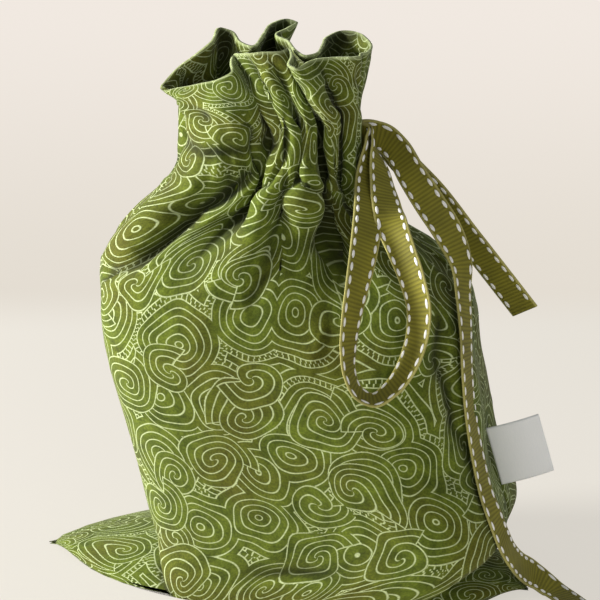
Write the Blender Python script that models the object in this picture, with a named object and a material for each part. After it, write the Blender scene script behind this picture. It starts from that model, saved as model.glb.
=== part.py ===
"""Kinchaku drawstring pouch of printed cotton, standing filled, with a grosgrain drawstring.

X runs along the pouch's flat width and the front panel faces -Y. The table is at Z = 0.
The cloth coordinate u runs once round the bag, 0 at the right side seam and 0.5 at the left one,
and v is the length of cloth from the bottom fold up to the edge of the ruffle.
"""
import math

import bmesh
import bpy
import numpy as np

MM = 0.001
ORIGIN = (-0.0065, -0.0035)   # plan point that becomes 0, 0: the middle of the standing pouch

# Cloth, in metres
FLAT_WIDTH = 0.168            # the bag pressed flat, seam to seam
BASE_FOLD = 0.042             # cloth from the bottom fold to the edge of the base
BODY_HEIGHT = 0.145           # table to the lower casing stitch line
BODY_CLOTH = 0.156            # cloth from the edge of the base to that stitch line
CASING_HEIGHT = 0.014         # between the two casing stitch lines
RUFFLE_CLOTH = 0.030          # header above the casing
CLOTH_WALL = 0.0010           # folded cotton with its seam allowance
EAR_HEIGHT = 0.011            # how far a bottom corner puffs up where it leaves the side
EAR_FADE = 0.030              # cloth over which that puff dies out up the side
EAR_BOW = 0.0070              # how far a bottom corner's folded edges bow out from straight

# Neck, gathered on the drawstring
NECK_HALF_WIDTH = 0.025
NECK_HALF_DEPTH = 0.012
NECK_CENTRE = (-0.0121, -0.0092)
NECK_TURN = 20.0              # degrees that the gathered neck is twisted against the base

# Drawstring and label
RIBBON_WIDTH = 0.010
RIBBON_THICKNESS = 0.0008
CLEARANCE = 0.0003            # cloth to ribbon, and ribbon to ribbon
CASING_SLACK = 0.0008         # spare height over and under the ribbon in its casing
SLIT_WIDTH = 0.008            # opening in the right side seam
RING_REACH = 0.0014           # how far the ribbon's two ends come out past the neck's end
RING_BEND = 0.0014            # radius that they turn out on
LABEL_HEIGHT = 0.020
LABEL_PROUD = 0.018
LABEL_THICKNESS = 0.0008
LABEL_CLOTH_HEIGHT = 0.084    # cloth length v at the label's middle

# Mesh
COLUMNS = 88                  # round the bag, half of them on each panel
END_COLUMNS = (9, 11)         # from the right and left seam to the corners of the base
CORNER_FADE = 0.035           # height over which columns leave those corners
STRIP_STEP = 0.0040           # along the free ribbon

# Cross-sections of the body: share of the body height, centre x and y, half width and half depth
# in millimetres, turn in degrees, and how square the corners are
SECTIONS = [
    (0.110, 6.0, 0.3, 56.3, 41.0, 4.0, 5.0),
    (0.345, -0.7, -1.8, 58.0, 43.0, 7.0, 4.0),
    (0.517, -5.5, -3.3, 59.7, 44.0, 9.0, 3.6),
    (0.676, -9.0, -5.0, 60.0, 43.0, 11.0, 3.2),
    (0.772, -10.9, -6.6, 58.0, 40.0, 13.0, 2.8),
    (0.862, -14.2, -7.3, 53.0, 34.0, 16.0, 2.5),
    (0.945, -17.4, -8.2, 45.0, 26.0, 18.0, 2.3),
    (1.007, -19.7, -9.2, 37.0, 18.0, 20.0, 2.1),
    (1.310, -19.7, -9.2, 37.0, 18.0, 20.0, 2.1),
]
BASE_CORNERS = [(-42.0, -43.0), (34.0, -37.0), (54.0, 34.0), (-46.0, 44.0)]
BASE_SQUARENESS = 9.0
EAR_TIPS = [(-94.0, -15.0), (73.0, 4.0)]

# Share of the body cloth used up at a share of the body height, so the shoulder has its slack
CLOTH_SHARE = [0.0, 0.321, 0.641, 0.821, 1.0]
HEIGHT_SHARE = [0.0, 0.345, 0.676, 0.852, 1.0]

# Pleats round the neck: width along the drawstring, depth, both in millimetres, and mesh columns
BACK_PLEATS = [(4, 0.3, 2), (10, 5.0, 7), (11, 9.0, 7), (10, 8.0, 7), (11, 9.5, 7), (10, 8.5, 7),
               (11, 8.0, 7)]
FRONT_PLEATS = [(30, 8.0, 12), (11, 10.0, 8), (5, 8.5, 7), (9, 10.0, 8), (8, 4.5, 7), (4, 0.3, 2)]

# Edge of the ruffle from the right seam to the left seam: x, y, and height over the casing,
# in millimetres, for the back panel and for the front panel
RUFFLE_BACK = [
    (17.9, -8.4, 21.5), (18.2, -1.9, 22.0), (13.2, 9.1, 23.0), (8.0, 14.6, 23.5),
    (1.8, 15.5, 23.5), (-1.2, 9.1, 22.5), (0.5, 0.2, 22.0), (1.2, -9.1, 21.0),
    (-0.5, -11.9, 21.0), (-4.2, -9.0, 21.5), (-10.1, -1.5, 23.0), (-15.6, 3.4, 23.5),
    (-13.7, 9.9, 24.5), (-13.4, 16.4, 25.0), (-18.2, 17.9, 25.5), (-21.1, 12.6, 25.0),
    (-20.5, 2.1, 23.5), (-20.5, -6.4, 21.5), (-25.5, -2.9, 21.5), (-32.4, 4.2, 23.5),
    (-35.5, 4.1, 24.0), (-35.1, -7.4, 21.5), (-38.3, -10.2, 18.5), (-43.7, -11.6, 14.0),
    (-48.3, -16.5, 7.5)]
RUFFLE_FRONT = [
    (17.9, -8.4, 21.5), (16.3, -12.7, 21.5), (8.8, -15.4, 21.5), (3.9, -19.4, 21.0),
    (0.7, -25.3, 19.5), (-2.2, -23.2, 19.5), (-4.8, -14.5, 21.0), (-7.8, -9.2, 22.0),
    (-8.3, -13.7, 22.0), (-13.2, -16.5, 22.0), (-19.1, -17.6, 21.0), (-23.2, -13.8, 20.0),
    (-25.5, -10.3, 19.0), (-23.9, -16.2, 18.0), (-22.0, -21.3, 16.0), (-25.3, -24.1, 14.0),
    (-32.5, -21.9, 11.5), (-40.7, -19.6, 9.0), (-48.3, -16.5, 7.5)]

# Folds of the body: lines over the cloth in millimetres round (from the right seam) and up,
# with the height of the fold and its half width; a negative height is a hollow
FOLDS = [
    ([(190, 196), (182, 180), (179, 166), (184, 154)], 5.0, 8.0),
    ([(208, 198), (199, 187), (196, 172), (196, 158), (193, 146)], -4.5, 4.5),
    ([(222, 192), (232, 174), (238, 158)], 3.0, 7.0),
    ([(244, 196), (242, 182), (241, 168)], 4.5, 6.0),
    ([(262, 196), (268, 182), (268, 166), (266, 150)], -6.5, 8.0),
    ([(290, 192), (286, 176), (280, 160)], 3.0, 7.0),
    ([(325, 184), (318, 168), (306, 156)], 3.0, 7.0),
    ([(306, 142), (304, 131), (308, 120), (315, 102)], -3.0, 4.5),
    ([(244, 56), (256, 57), (268, 57)], -1.4, 3.5),
    ([(30, 185), (44, 165), (62, 150)], 3.0, 8.0),
    ([(90, 190), (88, 170), (84, 150)], -3.5, 8.0),
    ([(134, 186), (138, 166), (142, 150)], 3.0, 8.0),
]

# Free ribbon: the middle of the strip and the way across it, chosen by hand, in millimetres
FRONT_LOOP = [
    (14.3, -2.1, 152.0, 0.00, 0.00, 1.00), (17.0, -2.4, 151.8, 0.00, -0.16, 0.98),
    (19.0, -5.4, 149.6, -0.14, -0.56, 0.80), (20.3, -8.6, 145.8, -0.44, -0.70, 0.52),
    (21.4, -12.6, 142.0, -0.66, -0.66, 0.32), (22.8, -17.2, 139.2, -0.70, -0.68, 0.20),
    (24.4, -22.0, 136.6, -0.62, -0.75, 0.08),
    (26.4, -29.8, 131.0, -0.60, -0.78, 0.00), (27.5, -36.8, 124.0, -0.52, -0.82, 0.00),
    (27.8, -43.1, 115.8, -0.42, -0.90, 0.00), (27.6, -47.6, 107.4, -0.32, -0.94, 0.00),
    (27.5, -50.4, 98.3, -0.20, -0.98, 0.00), (28.4, -51.4, 89.8, 0.00, -1.00, 0.00),
    (31.1, -50.7, 83.6, 0.20, -0.97, -0.10), (35.5, -48.9, 81.2, 0.42, -0.90, -0.10),
    (40.4, -46.2, 84.8, 0.62, -0.76, -0.10), (44.7, -43.3, 92.4, 0.76, -0.62, -0.10),
    (46.6, -40.7, 100.5, 0.82, -0.52, -0.10), (46.4, -38.4, 108.6, 0.88, -0.44, -0.10),
    (43.1, -35.2, 117.1, 0.90, -0.40, -0.12), (38.0, -30.7, 125.0, 0.90, -0.38, -0.18),
    (32.8, -25.3, 132.0, 0.88, -0.30, -0.34), (28.6, -18.2, 137.0, 0.80, -0.10, -0.52),
    (25.4, -12.4, 141.6, 0.66, 0.24, -0.66), (22.8, -7.6, 146.0, 0.44, 0.52, -0.70),
    (20.2, -4.0, 149.8, 0.12, 0.46, -0.86), (17.2, -1.3, 151.8, 0.00, 0.10, -0.99),
    (14.1, -1.0, 152.0, 0.00, 0.00, -1.00)]
LONG_TAIL = [
    (13.6, 0.3, 152.0, 0.00, 0.00, 1.00), (16.8, 1.4, 152.2, 0.00, 0.00, 1.00),
    (21.4, 1.8, 152.8, 0.16, 0.04, 0.96), (26.2, 0.6, 150.6, 0.44, 0.06, 0.86),
    (31.8, -2.2, 143.8, 0.58, 0.14, 0.78), (38.6, -4.4, 133.6, 0.60, 0.34, 0.65),
    (45.4, -5.6, 124.8, 0.50, 0.60, 0.50), (50.3, -7.0, 115.6, 0.32, 0.86, 0.24),
    (52.6, -11.0, 105.4, 0.12, 0.98, 0.08), (55.0, -15.6, 95.0, 0.06, 1.00, 0.00),
    (56.2, -17.8, 85.0, 0.04, 1.00, 0.00), (57.8, -17.6, 68.2, 0.04, 1.00, 0.00),
    (60.4, -16.6, 52.8, 0.08, 0.99, -0.03), (64.0, -17.6, 40.6, 0.12, 0.98, -0.06),
    (66.7, -18.4, 34.8, 0.12, 0.98, 0.04), (69.2, -16.8, 27.0, 0.04, 0.96, 0.28),
    (71.2, -10.5, 17.8, -0.10, 0.85, 0.50), (72.8, -3.0, 11.0, -0.08, 0.82, 0.55),
    (75.6, 3.5, 5.8, 0.16, 0.92, 0.30), (80.8, 4.5, 1.8, 0.46, 0.87, 0.06),
    (87.0, 0.5, 0.8, 0.62, 0.78, 0.00), (93.5, -6.0, 0.8, 0.72, 0.70, 0.00),
    (100.0, -13.0, 0.8, 0.72, 0.69, 0.00), (107.5, -20.0, 0.8, 0.64, 0.76, 0.00),
    (116.0, -25.5, 0.8, 0.46, 0.88, 0.00), (125.0, -28.5, 0.8, 0.22, 0.97, 0.00)]
SHORT_TAIL = [
    (13.1, 1.5, 152.0, 0.00, 0.00, 1.00), (16.2, 2.8, 152.0, 0.02, 0.04, 1.00),
    (20.4, 4.8, 150.8, 0.26, 0.02, 0.94), (26.4, 5.6, 144.4, 0.60, -0.12, 0.74),
    (35.9, 8.2, 133.4, 0.70, -0.20, 0.66), (46.3, 12.4, 118.6, 0.70, -0.20, 0.66),
    (56.4, 18.3, 103.2, 0.70, -0.20, 0.66), (64.0, 23.3, 91.2, 0.70, -0.20, 0.66)]

# Worked out from the sizes above
CASING_TOP = BODY_HEIGHT + CASING_HEIGHT
CLOTH_ROUND = 2.0 * FLAT_WIDTH
V_BODY_TOP = BASE_FOLD + BODY_CLOTH
V_CASING_TOP = V_BODY_TOP + CASING_HEIGHT
V_EDGE = V_CASING_TOP + RUFFLE_CLOTH
RIBBON_GAP = RIBBON_THICKNESS / 2.0 + CLEARANCE     # channel wall to the middle of the ribbon


def remove_everything():
    """Start from an empty scene."""
    for item in list(bpy.data.objects):
        bpy.data.objects.remove(item, do_unlink=True)


def smooth(x):
    """Ease from 0 to 1."""
    x = np.clip(x, 0.0, 1.0)
    return x * x * (3.0 - 2.0 * x)


def turned(points, degrees):
    """Turn plan points about Z."""
    angle = math.radians(degrees)
    x, y = points[..., 0], points[..., 1]
    return np.stack([x * math.cos(angle) - y * math.sin(angle),
                     x * math.sin(angle) + y * math.cos(angle)], -1)


def curve_through(at, knots, values):
    """Cubic curve through the values, each knot's slope taken from its neighbours."""
    knots = np.asarray(knots, float)
    values = np.asarray(values, float)
    slopes = np.gradient(values, knots, axis=0)
    at = np.clip(np.atleast_1d(np.asarray(at, float)), knots[0], knots[-1])
    i = np.clip(np.searchsorted(knots, at, side="right") - 1, 0, len(knots) - 2)
    step = knots[i + 1] - knots[i]
    t = (at - knots[i]) / step
    wide = (slice(None),) + (None,) * (values.ndim - 1)
    t, step = t[wide], step[wide]
    return ((2 * t**3 - 3 * t**2 + 1) * values[i] + (t**3 - 2 * t**2 + t) * step * slopes[i]
            + (3 * t**2 - 2 * t**3) * values[i + 1] + (t**3 - t**2) * step * slopes[i + 1])


def outward(loop):
    """Plan normals of a closed loop that runs anticlockwise."""
    along = np.roll(loop, -1, 0) - np.roll(loop, 1, 0)
    normal = np.stack([along[:, 1], -along[:, 0]], -1)
    return normal / np.linalg.norm(normal, axis=1, keepdims=True)


def height_of(v):
    """Height over the table of the cloth at v, before the ruffle's own slope."""
    if v <= BASE_FOLD:
        return 0.0
    if v >= V_BODY_TOP:
        return BODY_HEIGHT + min(v - V_BODY_TOP, CASING_HEIGHT)
    share = (v - BASE_FOLD) / BODY_CLOTH
    return float(curve_through(share, CLOTH_SHARE, HEIGHT_SHARE)[0]) * BODY_HEIGHT


def section_corners(inset):
    """Heights and the four plan corners of each body section, base first."""
    low = np.array(BASE_CORNERS) * MM
    low = low - np.sign(low) * inset
    corners = [low]
    for share, cx, cy, half_width, half_depth, turn, _ in SECTIONS:
        a, b = half_width * MM - inset, half_depth * MM - inset
        box = np.array([[-a, -b], [a, -b], [a, b], [-a, b]])
        corners.append(np.array([cx, cy]) * MM + turned(box, turn))
    heights = [0.0] + [row[0] * BODY_HEIGHT for row in SECTIONS]
    return np.array(heights), np.array(corners)


def body_section(u, height, spread, inset=0.0):
    """Plan points of the body at a height. A spread under 1 draws the base in to its fold line.
    The second result runs from 0 at a side seam to 1 at the corner next to it and beyond."""
    heights, corners = section_corners(inset)
    c = curve_through(height, heights, corners)[0]
    tips = np.array(EAR_TIPS) * MM
    tips = tips - np.sign(tips) * [5.0 * inset, 0.0]
    ends = np.array([tips[0], tips[1], tips[1], tips[0]])
    edge = c - ends
    aside = np.stack([-edge[:, 1], edge[:, 0]], -1) * np.array([[-1.0], [1.0], [-1.0], [1.0]])
    aside /= np.linalg.norm(aside, axis=1, keepdims=True)
    c = ends + edge * spread + aside * 4.0 * spread * (1.0 - spread) * EAR_BOW
    squareness = np.interp(height, heights, [BASE_SQUARENESS] + [row[6] for row in SECTIONS])
    f = np.linspace(0.0, 2.0 * math.pi, 721)
    x = np.sign(np.cos(f)) * np.abs(np.cos(f)) ** (2.0 / squareness)
    y = np.sign(np.sin(f)) * np.abs(np.sin(f)) ** (2.0 / squareness)
    a, b = ((x + 1.0) / 2.0)[:, None], ((y + 1.0) / 2.0)[:, None]
    loop = c[0] * (1 - a) * (1 - b) + c[1] * a * (1 - b) + c[2] * a * b + c[3] * (1 - a) * b
    run = np.concatenate([[0.0], np.cumsum(np.linalg.norm(np.diff(loop, axis=0), axis=1))])
    marks = np.array([0, 90, 270, 360, 450, 630, 720])
    right, left = END_COLUMNS[0] / COLUMNS, END_COLUMNS[1] / COLUMNS
    at_base = np.array([0.0, right, 0.5 - left, 0.5, 0.5 + left, 1.0 - right, 1.0])
    half = run[360]
    by_length = np.where(marks <= 360, 0.5 * run[marks] / half,
                         0.5 + 0.5 * (run[marks] - half) / (run[-1] - half))
    anchors = at_base + (by_length - at_base) * smooth(height / CORNER_FADE)
    share = np.interp(run, run[marks], anchors)
    u = np.mod(u, 1.0)
    points = np.stack([np.interp(u, share, loop[:, 0]), np.interp(u, share, loop[:, 1])], -1)
    from_right = np.minimum(u, 1.0 - u) / anchors[1]
    from_left = np.abs(u - 0.5) / (0.5 - anchors[2])
    return points, np.minimum(np.minimum(from_right, from_left), 1.0)


def ear_rise(v, from_seam, height):
    """How far the corner triangles and the foot of each side puff up over the table."""
    profile = (1.0 - from_seam**2) ** 0.8
    fade = 1.0 - smooth((v - BASE_FOLD) / EAR_FADE)
    return height * min(1.0, v / BASE_FOLD) ** 0.7 * profile * fade


def neck_table():
    """Each pleat as its start and length in u, its start and length along the neck, its depth."""
    rows = []
    for start, pleats in ((0.0, BACK_PLEATS), (0.5, FRONT_PLEATS)):
        width = np.array([p[0] for p in pleats]) * MM
        depth = np.array([p[1] for p in pleats]) * MM
        cloth = width + 1.7 * depth
        u_len, s_len = 0.5 * cloth / cloth.sum(), 0.5 * width / width.sum()
        u_at = start + np.concatenate([[0.0], np.cumsum(u_len)[:-1]])
        s_at = start + np.concatenate([[0.0], np.cumsum(s_len)[:-1]])
        rows += list(zip(u_at, u_len, s_at, s_len, depth))
    return np.array(rows)


PLEATS = neck_table()


def neck_oval(share):
    """Plan points and outward normals of the drawstring's oval at shares of its length."""
    f = np.linspace(0.0, 2.0 * math.pi, 721)
    x, y = NECK_HALF_WIDTH * np.cos(f), NECK_HALF_DEPTH * np.sin(f)
    run = np.concatenate([[0.0], np.cumsum(np.hypot(np.diff(x), np.diff(y)))])
    f = np.interp(np.mod(share, 1.0), run / run[-1], f)
    point = np.stack([NECK_HALF_WIDTH * np.cos(f), NECK_HALF_DEPTH * np.sin(f)], -1)
    normal = np.stack([NECK_HALF_DEPTH * np.cos(f), NECK_HALF_WIDTH * np.sin(f)], -1)
    normal /= np.linalg.norm(normal, axis=1, keepdims=True)
    return np.array(NECK_CENTRE) + turned(point, NECK_TURN), turned(normal, NECK_TURN)


def neck(u):
    """Oval points, outward normals and pleat depth for cloth at u. Pleats are narrower at
    their roots than at their crests, as gathered cloth is."""
    u = np.mod(u, 1.0)
    row = PLEATS[np.clip(np.searchsorted(PLEATS[:, 0], u, side="right") - 1, 0, len(PLEATS) - 1)]
    t = (u - row[:, 0]) / row[:, 1]
    share = row[:, 2] + row[:, 3] * (t - 0.75 * np.sin(2 * math.pi * t) / (2 * math.pi))
    point, normal = neck_oval(share)
    return point, normal, row[:, 4] * np.sin(math.pi * t) ** 0.8


def ruffle_edge(u):
    """The ruffle's edge at u: plan points, and height over the casing."""
    known_u, known = [], []
    for points, forward in ((RUFFLE_BACK, True), (RUFFLE_FRONT, False)):
        line = np.array(points) * MM
        run = np.concatenate([[0.0], np.cumsum(np.linalg.norm(np.diff(line, axis=0), axis=1))])
        share = 0.5 * run / run[-1]
        if forward:
            known_u.append(share)
            known.append(line)
        else:
            known_u.append((1.0 - share)[::-1][1:])
            known.append(line[::-1][1:])
    known_u, known = np.concatenate(known_u), np.concatenate(known)
    known_u = np.concatenate([known_u[-4:-1] - 1.0, known_u, known_u[1:4] + 1.0])
    known = np.concatenate([known[-4:-1], known, known[1:4]])
    edge = curve_through(np.mod(u, 1.0), known_u, known)
    return edge[:, :2], edge[:, 2]


def fold_height(u, v):
    """Sum of the body's folds at cloth place u, v: rounded ridges and hollows along lines,
    which fade out at the ends of each line."""
    total = np.zeros(len(u))
    place = np.stack([np.mod(u, 1.0) * CLOTH_ROUND, np.full(len(u), v)], -1)
    for line, rise, half_width in FOLDS:
        line = np.array(line) * MM
        nearest = np.full(len(u), 1.0)
        fade = np.zeros(len(u))
        count = len(line) - 1
        for k in range(count):
            a, b = line[k], line[k + 1]
            t = np.clip(((place - a) @ (b - a)) / ((b - a) @ (b - a)), 0.0, 1.0)
            away = np.linalg.norm(place - (a + t[:, None] * (b - a)), axis=1)
            closer = away < nearest
            nearest = np.where(closer, away, nearest)
            fade = np.where(closer, np.sin(math.pi * (0.12 + 0.76 * (k + t) / count)), fade)
        total += rise * MM * fade * np.exp(-(nearest / (half_width * MM)) ** 2)
    return total


def column_places(v):
    """Mesh columns at v: even round the body, and set to the pleats at the neck."""
    even = np.arange(COLUMNS) / COLUMNS
    at_pleats = []
    for row, pleat in zip(PLEATS, BACK_PLEATS + FRONT_PLEATS):
        at_pleats += [row[0] + row[1] * k / pleat[2] for k in range(int(pleat[2]))]
    return even + (np.array(at_pleats) - even) * smooth((v - BASE_FOLD) / (0.7 * BODY_CLOTH))


def outer_row(v):
    """One closed row of the outer face at cloth length v."""
    u = column_places(v)
    height = height_of(v)
    body, from_seam = body_section(u, min(height, BODY_HEIGHT), min(v / BASE_FOLD, 1.0))
    oval, normal, pleat = neck(u)
    root = CLOTH_WALL + RIBBON_GAP
    share = height / BODY_HEIGHT
    late = 0.5 - 0.5 * np.cos(2.0 * math.pi * u)      # the left shoulder draws in later
    gather = (float(smooth((share - 0.66) / 0.34)) ** (1.2 + 0.8 * late))[:, None]
    pleating = float(smooth((share - 0.68) / 0.33)) ** 1.3
    plan = body * (1.0 - gather) + (oval + normal * root) * gather
    plan = plan + normal * (pleat * pleating)[:, None]
    rise = ear_rise(v, from_seam, EAR_HEIGHT)
    if BASE_FOLD < v < V_CASING_TOP:
        plan = plan + outward(plan) * fold_height(u, v)[:, None]
    level = np.full(len(u), height) + rise
    if v > V_CASING_TOP:
        edge, edge_height = ruffle_edge(u)
        up = min((v - V_CASING_TOP) / RUFFLE_CLOTH, 1.0)
        flare = up ** 1.15
        plan = (oval + normal * (root + pleat)[:, None]) * (1.0 - flare) + edge * flare
        level = CASING_TOP + edge_height * up
    return np.concatenate([plan, level[:, None]], 1)


def inner_row(v):
    """The lining side of the same row, one wall inside it."""
    row = outer_row(v)
    plan = row[:, :2]
    inside = plan - CLOTH_WALL * outward(plan)
    return np.concatenate([inside, row[:, 2:]], 1)


def inner_base_row(share):
    """The lining side of the base, on top of the cloth that lies on the table."""
    u = column_places(0.0)
    plan, from_seam = body_section(u, 0.0, share, CLOTH_WALL)
    rise = ear_rise(share * BASE_FOLD, from_seam, EAR_HEIGHT) - 2.2 * CLOTH_WALL
    level = CLOTH_WALL + np.maximum(rise, 0.0)
    return np.concatenate([plan, level[:, None]], 1)


def casing_row(height):
    """The smooth inner face of the casing, a wall inside the ribbon's channel."""
    oval, normal, _ = neck(column_places(V_BODY_TOP))
    plan = oval - normal * (CLOTH_WALL + RIBBON_GAP)
    return np.concatenate([plan, np.full((COLUMNS, 1), height)], 1)


def new_object(name, points, faces, material):
    """Closed mesh object round the origin, smooth except at sharp edges."""
    mesh = bpy.data.meshes.new(name)
    points = np.asarray(points, float) - [*ORIGIN, 0.0]
    mesh.from_pydata(points.tolist(), [], faces)
    made = bmesh.new()
    made.from_mesh(mesh)
    bmesh.ops.recalc_face_normals(made, faces=made.faces)
    made.to_mesh(mesh)
    made.free()
    mesh.shade_smooth()
    mesh.set_sharp_from_angle(angle=math.radians(50.0))
    item = bpy.data.objects.new(name, mesh)
    bpy.context.scene.collection.objects.link(item)
    if material is not None:
        mesh.materials.append(material)
    return item


def plain_material(name, colour, roughness):
    """Principled material in one colour."""
    material = bpy.data.materials.new(name)
    material.use_nodes = True
    shader = material.node_tree.nodes["Principled BSDF"]
    shader.inputs["Base Color"].default_value = (*colour, 1.0)
    shader.inputs["Roughness"].default_value = roughness
    shader.inputs["Metallic"].default_value = 0.0
    return material


def zip_faces(first, order):
    """Close a row that is folded flat on itself, its front columns against its back columns."""
    faces = []
    half = COLUMNS // 2
    for k in range(half):
        a, b = first + k, first + k + 1
        c, d = first + (COLUMNS - k - 1) % COLUMNS, first + (COLUMNS - k) % COLUMNS
        ring = [p for i, p in enumerate((a, b, c, d)) if p not in (a, b, c, d)[:i]]
        if len(ring) > 2:
            faces.append(ring if order else ring[::-1])
    return faces


def make_cloth(material):
    """The pouch: outer rows up to the ruffle's edge, then lining rows down to the base."""
    body_v = [BASE_FOLD + BODY_CLOTH * k / 13.0 for k in range(1, 13)]
    ruffle_v = [V_CASING_TOP + RUFFLE_CLOTH * k / 4.0 for k in range(1, 5)]
    base_v = [BASE_FOLD * share for share in (0.02, 0.2, 0.45, 0.72, 0.93, 1.0)]
    rows = [outer_row(v) for v in base_v + body_v + [V_BODY_TOP, V_CASING_TOP] + ruffle_v]
    rows += [inner_row(v) for v in ruffle_v[::-1] + [V_CASING_TOP]]
    rows += [casing_row(CASING_TOP), casing_row(BODY_HEIGHT)]
    rows += [inner_row(v) for v in [V_BODY_TOP] + body_v[::-1]]
    rows += [inner_base_row(share) for share in (1.0, 0.72, 0.4, 0.06)]
    faces = []
    for r in range(len(rows) - 1):
        for k in range(COLUMNS):
            a, b = r * COLUMNS + k, r * COLUMNS + (k + 1) % COLUMNS
            faces.append((a, b, b + COLUMNS, a + COLUMNS))
    faces += zip_faces(0, False)
    faces += zip_faces((len(rows) - 1) * COLUMNS, True)
    return new_object("pouch_cloth", np.concatenate(rows), faces, material)


def ring_cutter():
    """The drawstring's channel round the neck."""
    count = 96
    oval, normal = neck_oval(np.arange(count) / count)
    half = RIBBON_WIDTH / 2.0 + CASING_SLACK
    middle = BODY_HEIGHT + CASING_HEIGHT / 2.0
    points = []
    for side, level in ((-1, -half), (1, -half), (1, half), (-1, half)):
        plan = oval + normal * side * RIBBON_GAP
        points.append(np.concatenate([plan, np.full((count, 1), middle + level)], 1))
    faces = []
    for r in range(4):
        for k in range(count):
            nxt, up = (k + 1) % count, (r + 1) % 4
            faces.append((r * count + k, r * count + nxt, up * count + nxt, up * count + k))
    return new_object("channel_cutter", np.concatenate(points), faces, None)


def slit_cutter():
    """The slit in the right side seam where the ribbon comes out."""
    half = RIBBON_WIDTH / 2.0 + CASING_SLACK
    middle = BODY_HEIGHT + CASING_HEIGHT / 2.0
    x0 = NECK_HALF_WIDTH - RIBBON_GAP / 2.0
    x1 = NECK_HALF_WIDTH + 0.010
    y = SLIT_WIDTH / 2.0
    points = []
    for level in (middle - half, middle + half):
        plan = turned(np.array([[x0, -y], [x1, -y], [x1, y], [x0, y]]), NECK_TURN)
        plan = plan + np.array(NECK_CENTRE)
        points += [(p[0], p[1], level) for p in plan]
    faces = [(0, 3, 2, 1), (4, 5, 6, 7), (0, 1, 5, 4), (1, 2, 6, 5), (2, 3, 7, 6), (3, 0, 4, 7)]
    return new_object("slit_cutter", points, faces, None)


def cut(target, cutter):
    """Cut one object with another, which stays as a hidden guide."""
    modifier = target.modifiers.new(cutter.name, "BOOLEAN")
    modifier.operation = "DIFFERENCE"
    modifier.solver = "EXACT"
    modifier.object = cutter
    cutter.hide_render = True
    cutter.display_type = "WIRE"


def resampled(middle, across, step):
    """Smooth line through the route's points, cut into even steps, and the way across it."""
    run = np.concatenate([[0.0], np.cumsum(np.linalg.norm(np.diff(middle, axis=0), axis=1))])
    at = np.linspace(0.0, run[-1], max(int(round(run[-1] / step)), 2) + 1)
    return curve_through(at, run, middle), curve_through(at, run, across)


def make_strip(name, line, side, material):
    """Flat ribbon with square-cut ends along a line, its width along the second argument,
    made square to the line."""
    count = len(line) - 1
    along = np.gradient(line, axis=0)
    along /= np.linalg.norm(along, axis=1, keepdims=True)
    side = side - along * np.sum(side * along, axis=1, keepdims=True)
    side /= np.linalg.norm(side, axis=1, keepdims=True)
    face = np.cross(along, side)
    half_w, half_t = RIBBON_WIDTH / 2.0, RIBBON_THICKNESS / 2.0
    corners = ((-1, -1), (1, -1), (1, 1), (-1, 1))
    points = [line + side * half_w * a + face * half_t * b for a, b in corners]
    points = np.stack(points, 1).reshape(-1, 3)
    faces = []
    for k in range(count):
        for c in range(4):
            d = (c + 1) % 4
            faces.append((4 * k + c, 4 * k + d, 4 * k + 4 + d, 4 * k + 4 + c))
    faces += [(3, 2, 1, 0), tuple(4 * count + c for c in range(4))]
    return new_object(name, points, faces, material)


def make_drawstring_ring(material):
    """The drawstring inside its casing. Its two ends turn out through the slit side by side."""
    beside = RIBBON_THICKNESS + CLEARANCE
    start_y = beside + RING_BEND
    start_x = NECK_HALF_WIDTH * math.sqrt(1.0 - (start_y / NECK_HALF_DEPTH) ** 2)
    turn = np.radians([90.0, 60.0, 30.0])
    bend = np.stack([start_x + RING_BEND * (1.0 - np.cos(turn)),
                     start_y - RING_BEND * np.sin(turn)], -1)
    end = np.concatenate([[[NECK_HALF_WIDTH + RING_REACH, beside]], bend])
    angle = math.asin(start_y / NECK_HALF_DEPTH)
    f = np.linspace(angle, 2.0 * math.pi - angle, 48)
    oval = np.stack([NECK_HALF_WIDTH * np.cos(f), NECK_HALF_DEPTH * np.sin(f)], -1)
    plan = np.concatenate([end, oval, end[::-1] * [1.0, -1.0]])
    plan = np.array(NECK_CENTRE) + turned(plan, NECK_TURN)
    level = np.full((len(plan), 1), BODY_HEIGHT + CASING_HEIGHT / 2.0)
    upright = np.tile([0.0, 0.0, 1.0], (len(plan), 1))
    return make_strip("drawstring_in_casing", np.concatenate([plan, level], 1), upright, material)


def make_free_ribbon(name, route, material):
    """One of the ribbon's free stretches, on its hand-chosen route."""
    route = np.array(route)
    line, side = resampled(route[:, :3] * MM, route[:, 3:], STRIP_STEP)
    return make_strip(name, line, side, material)


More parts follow.
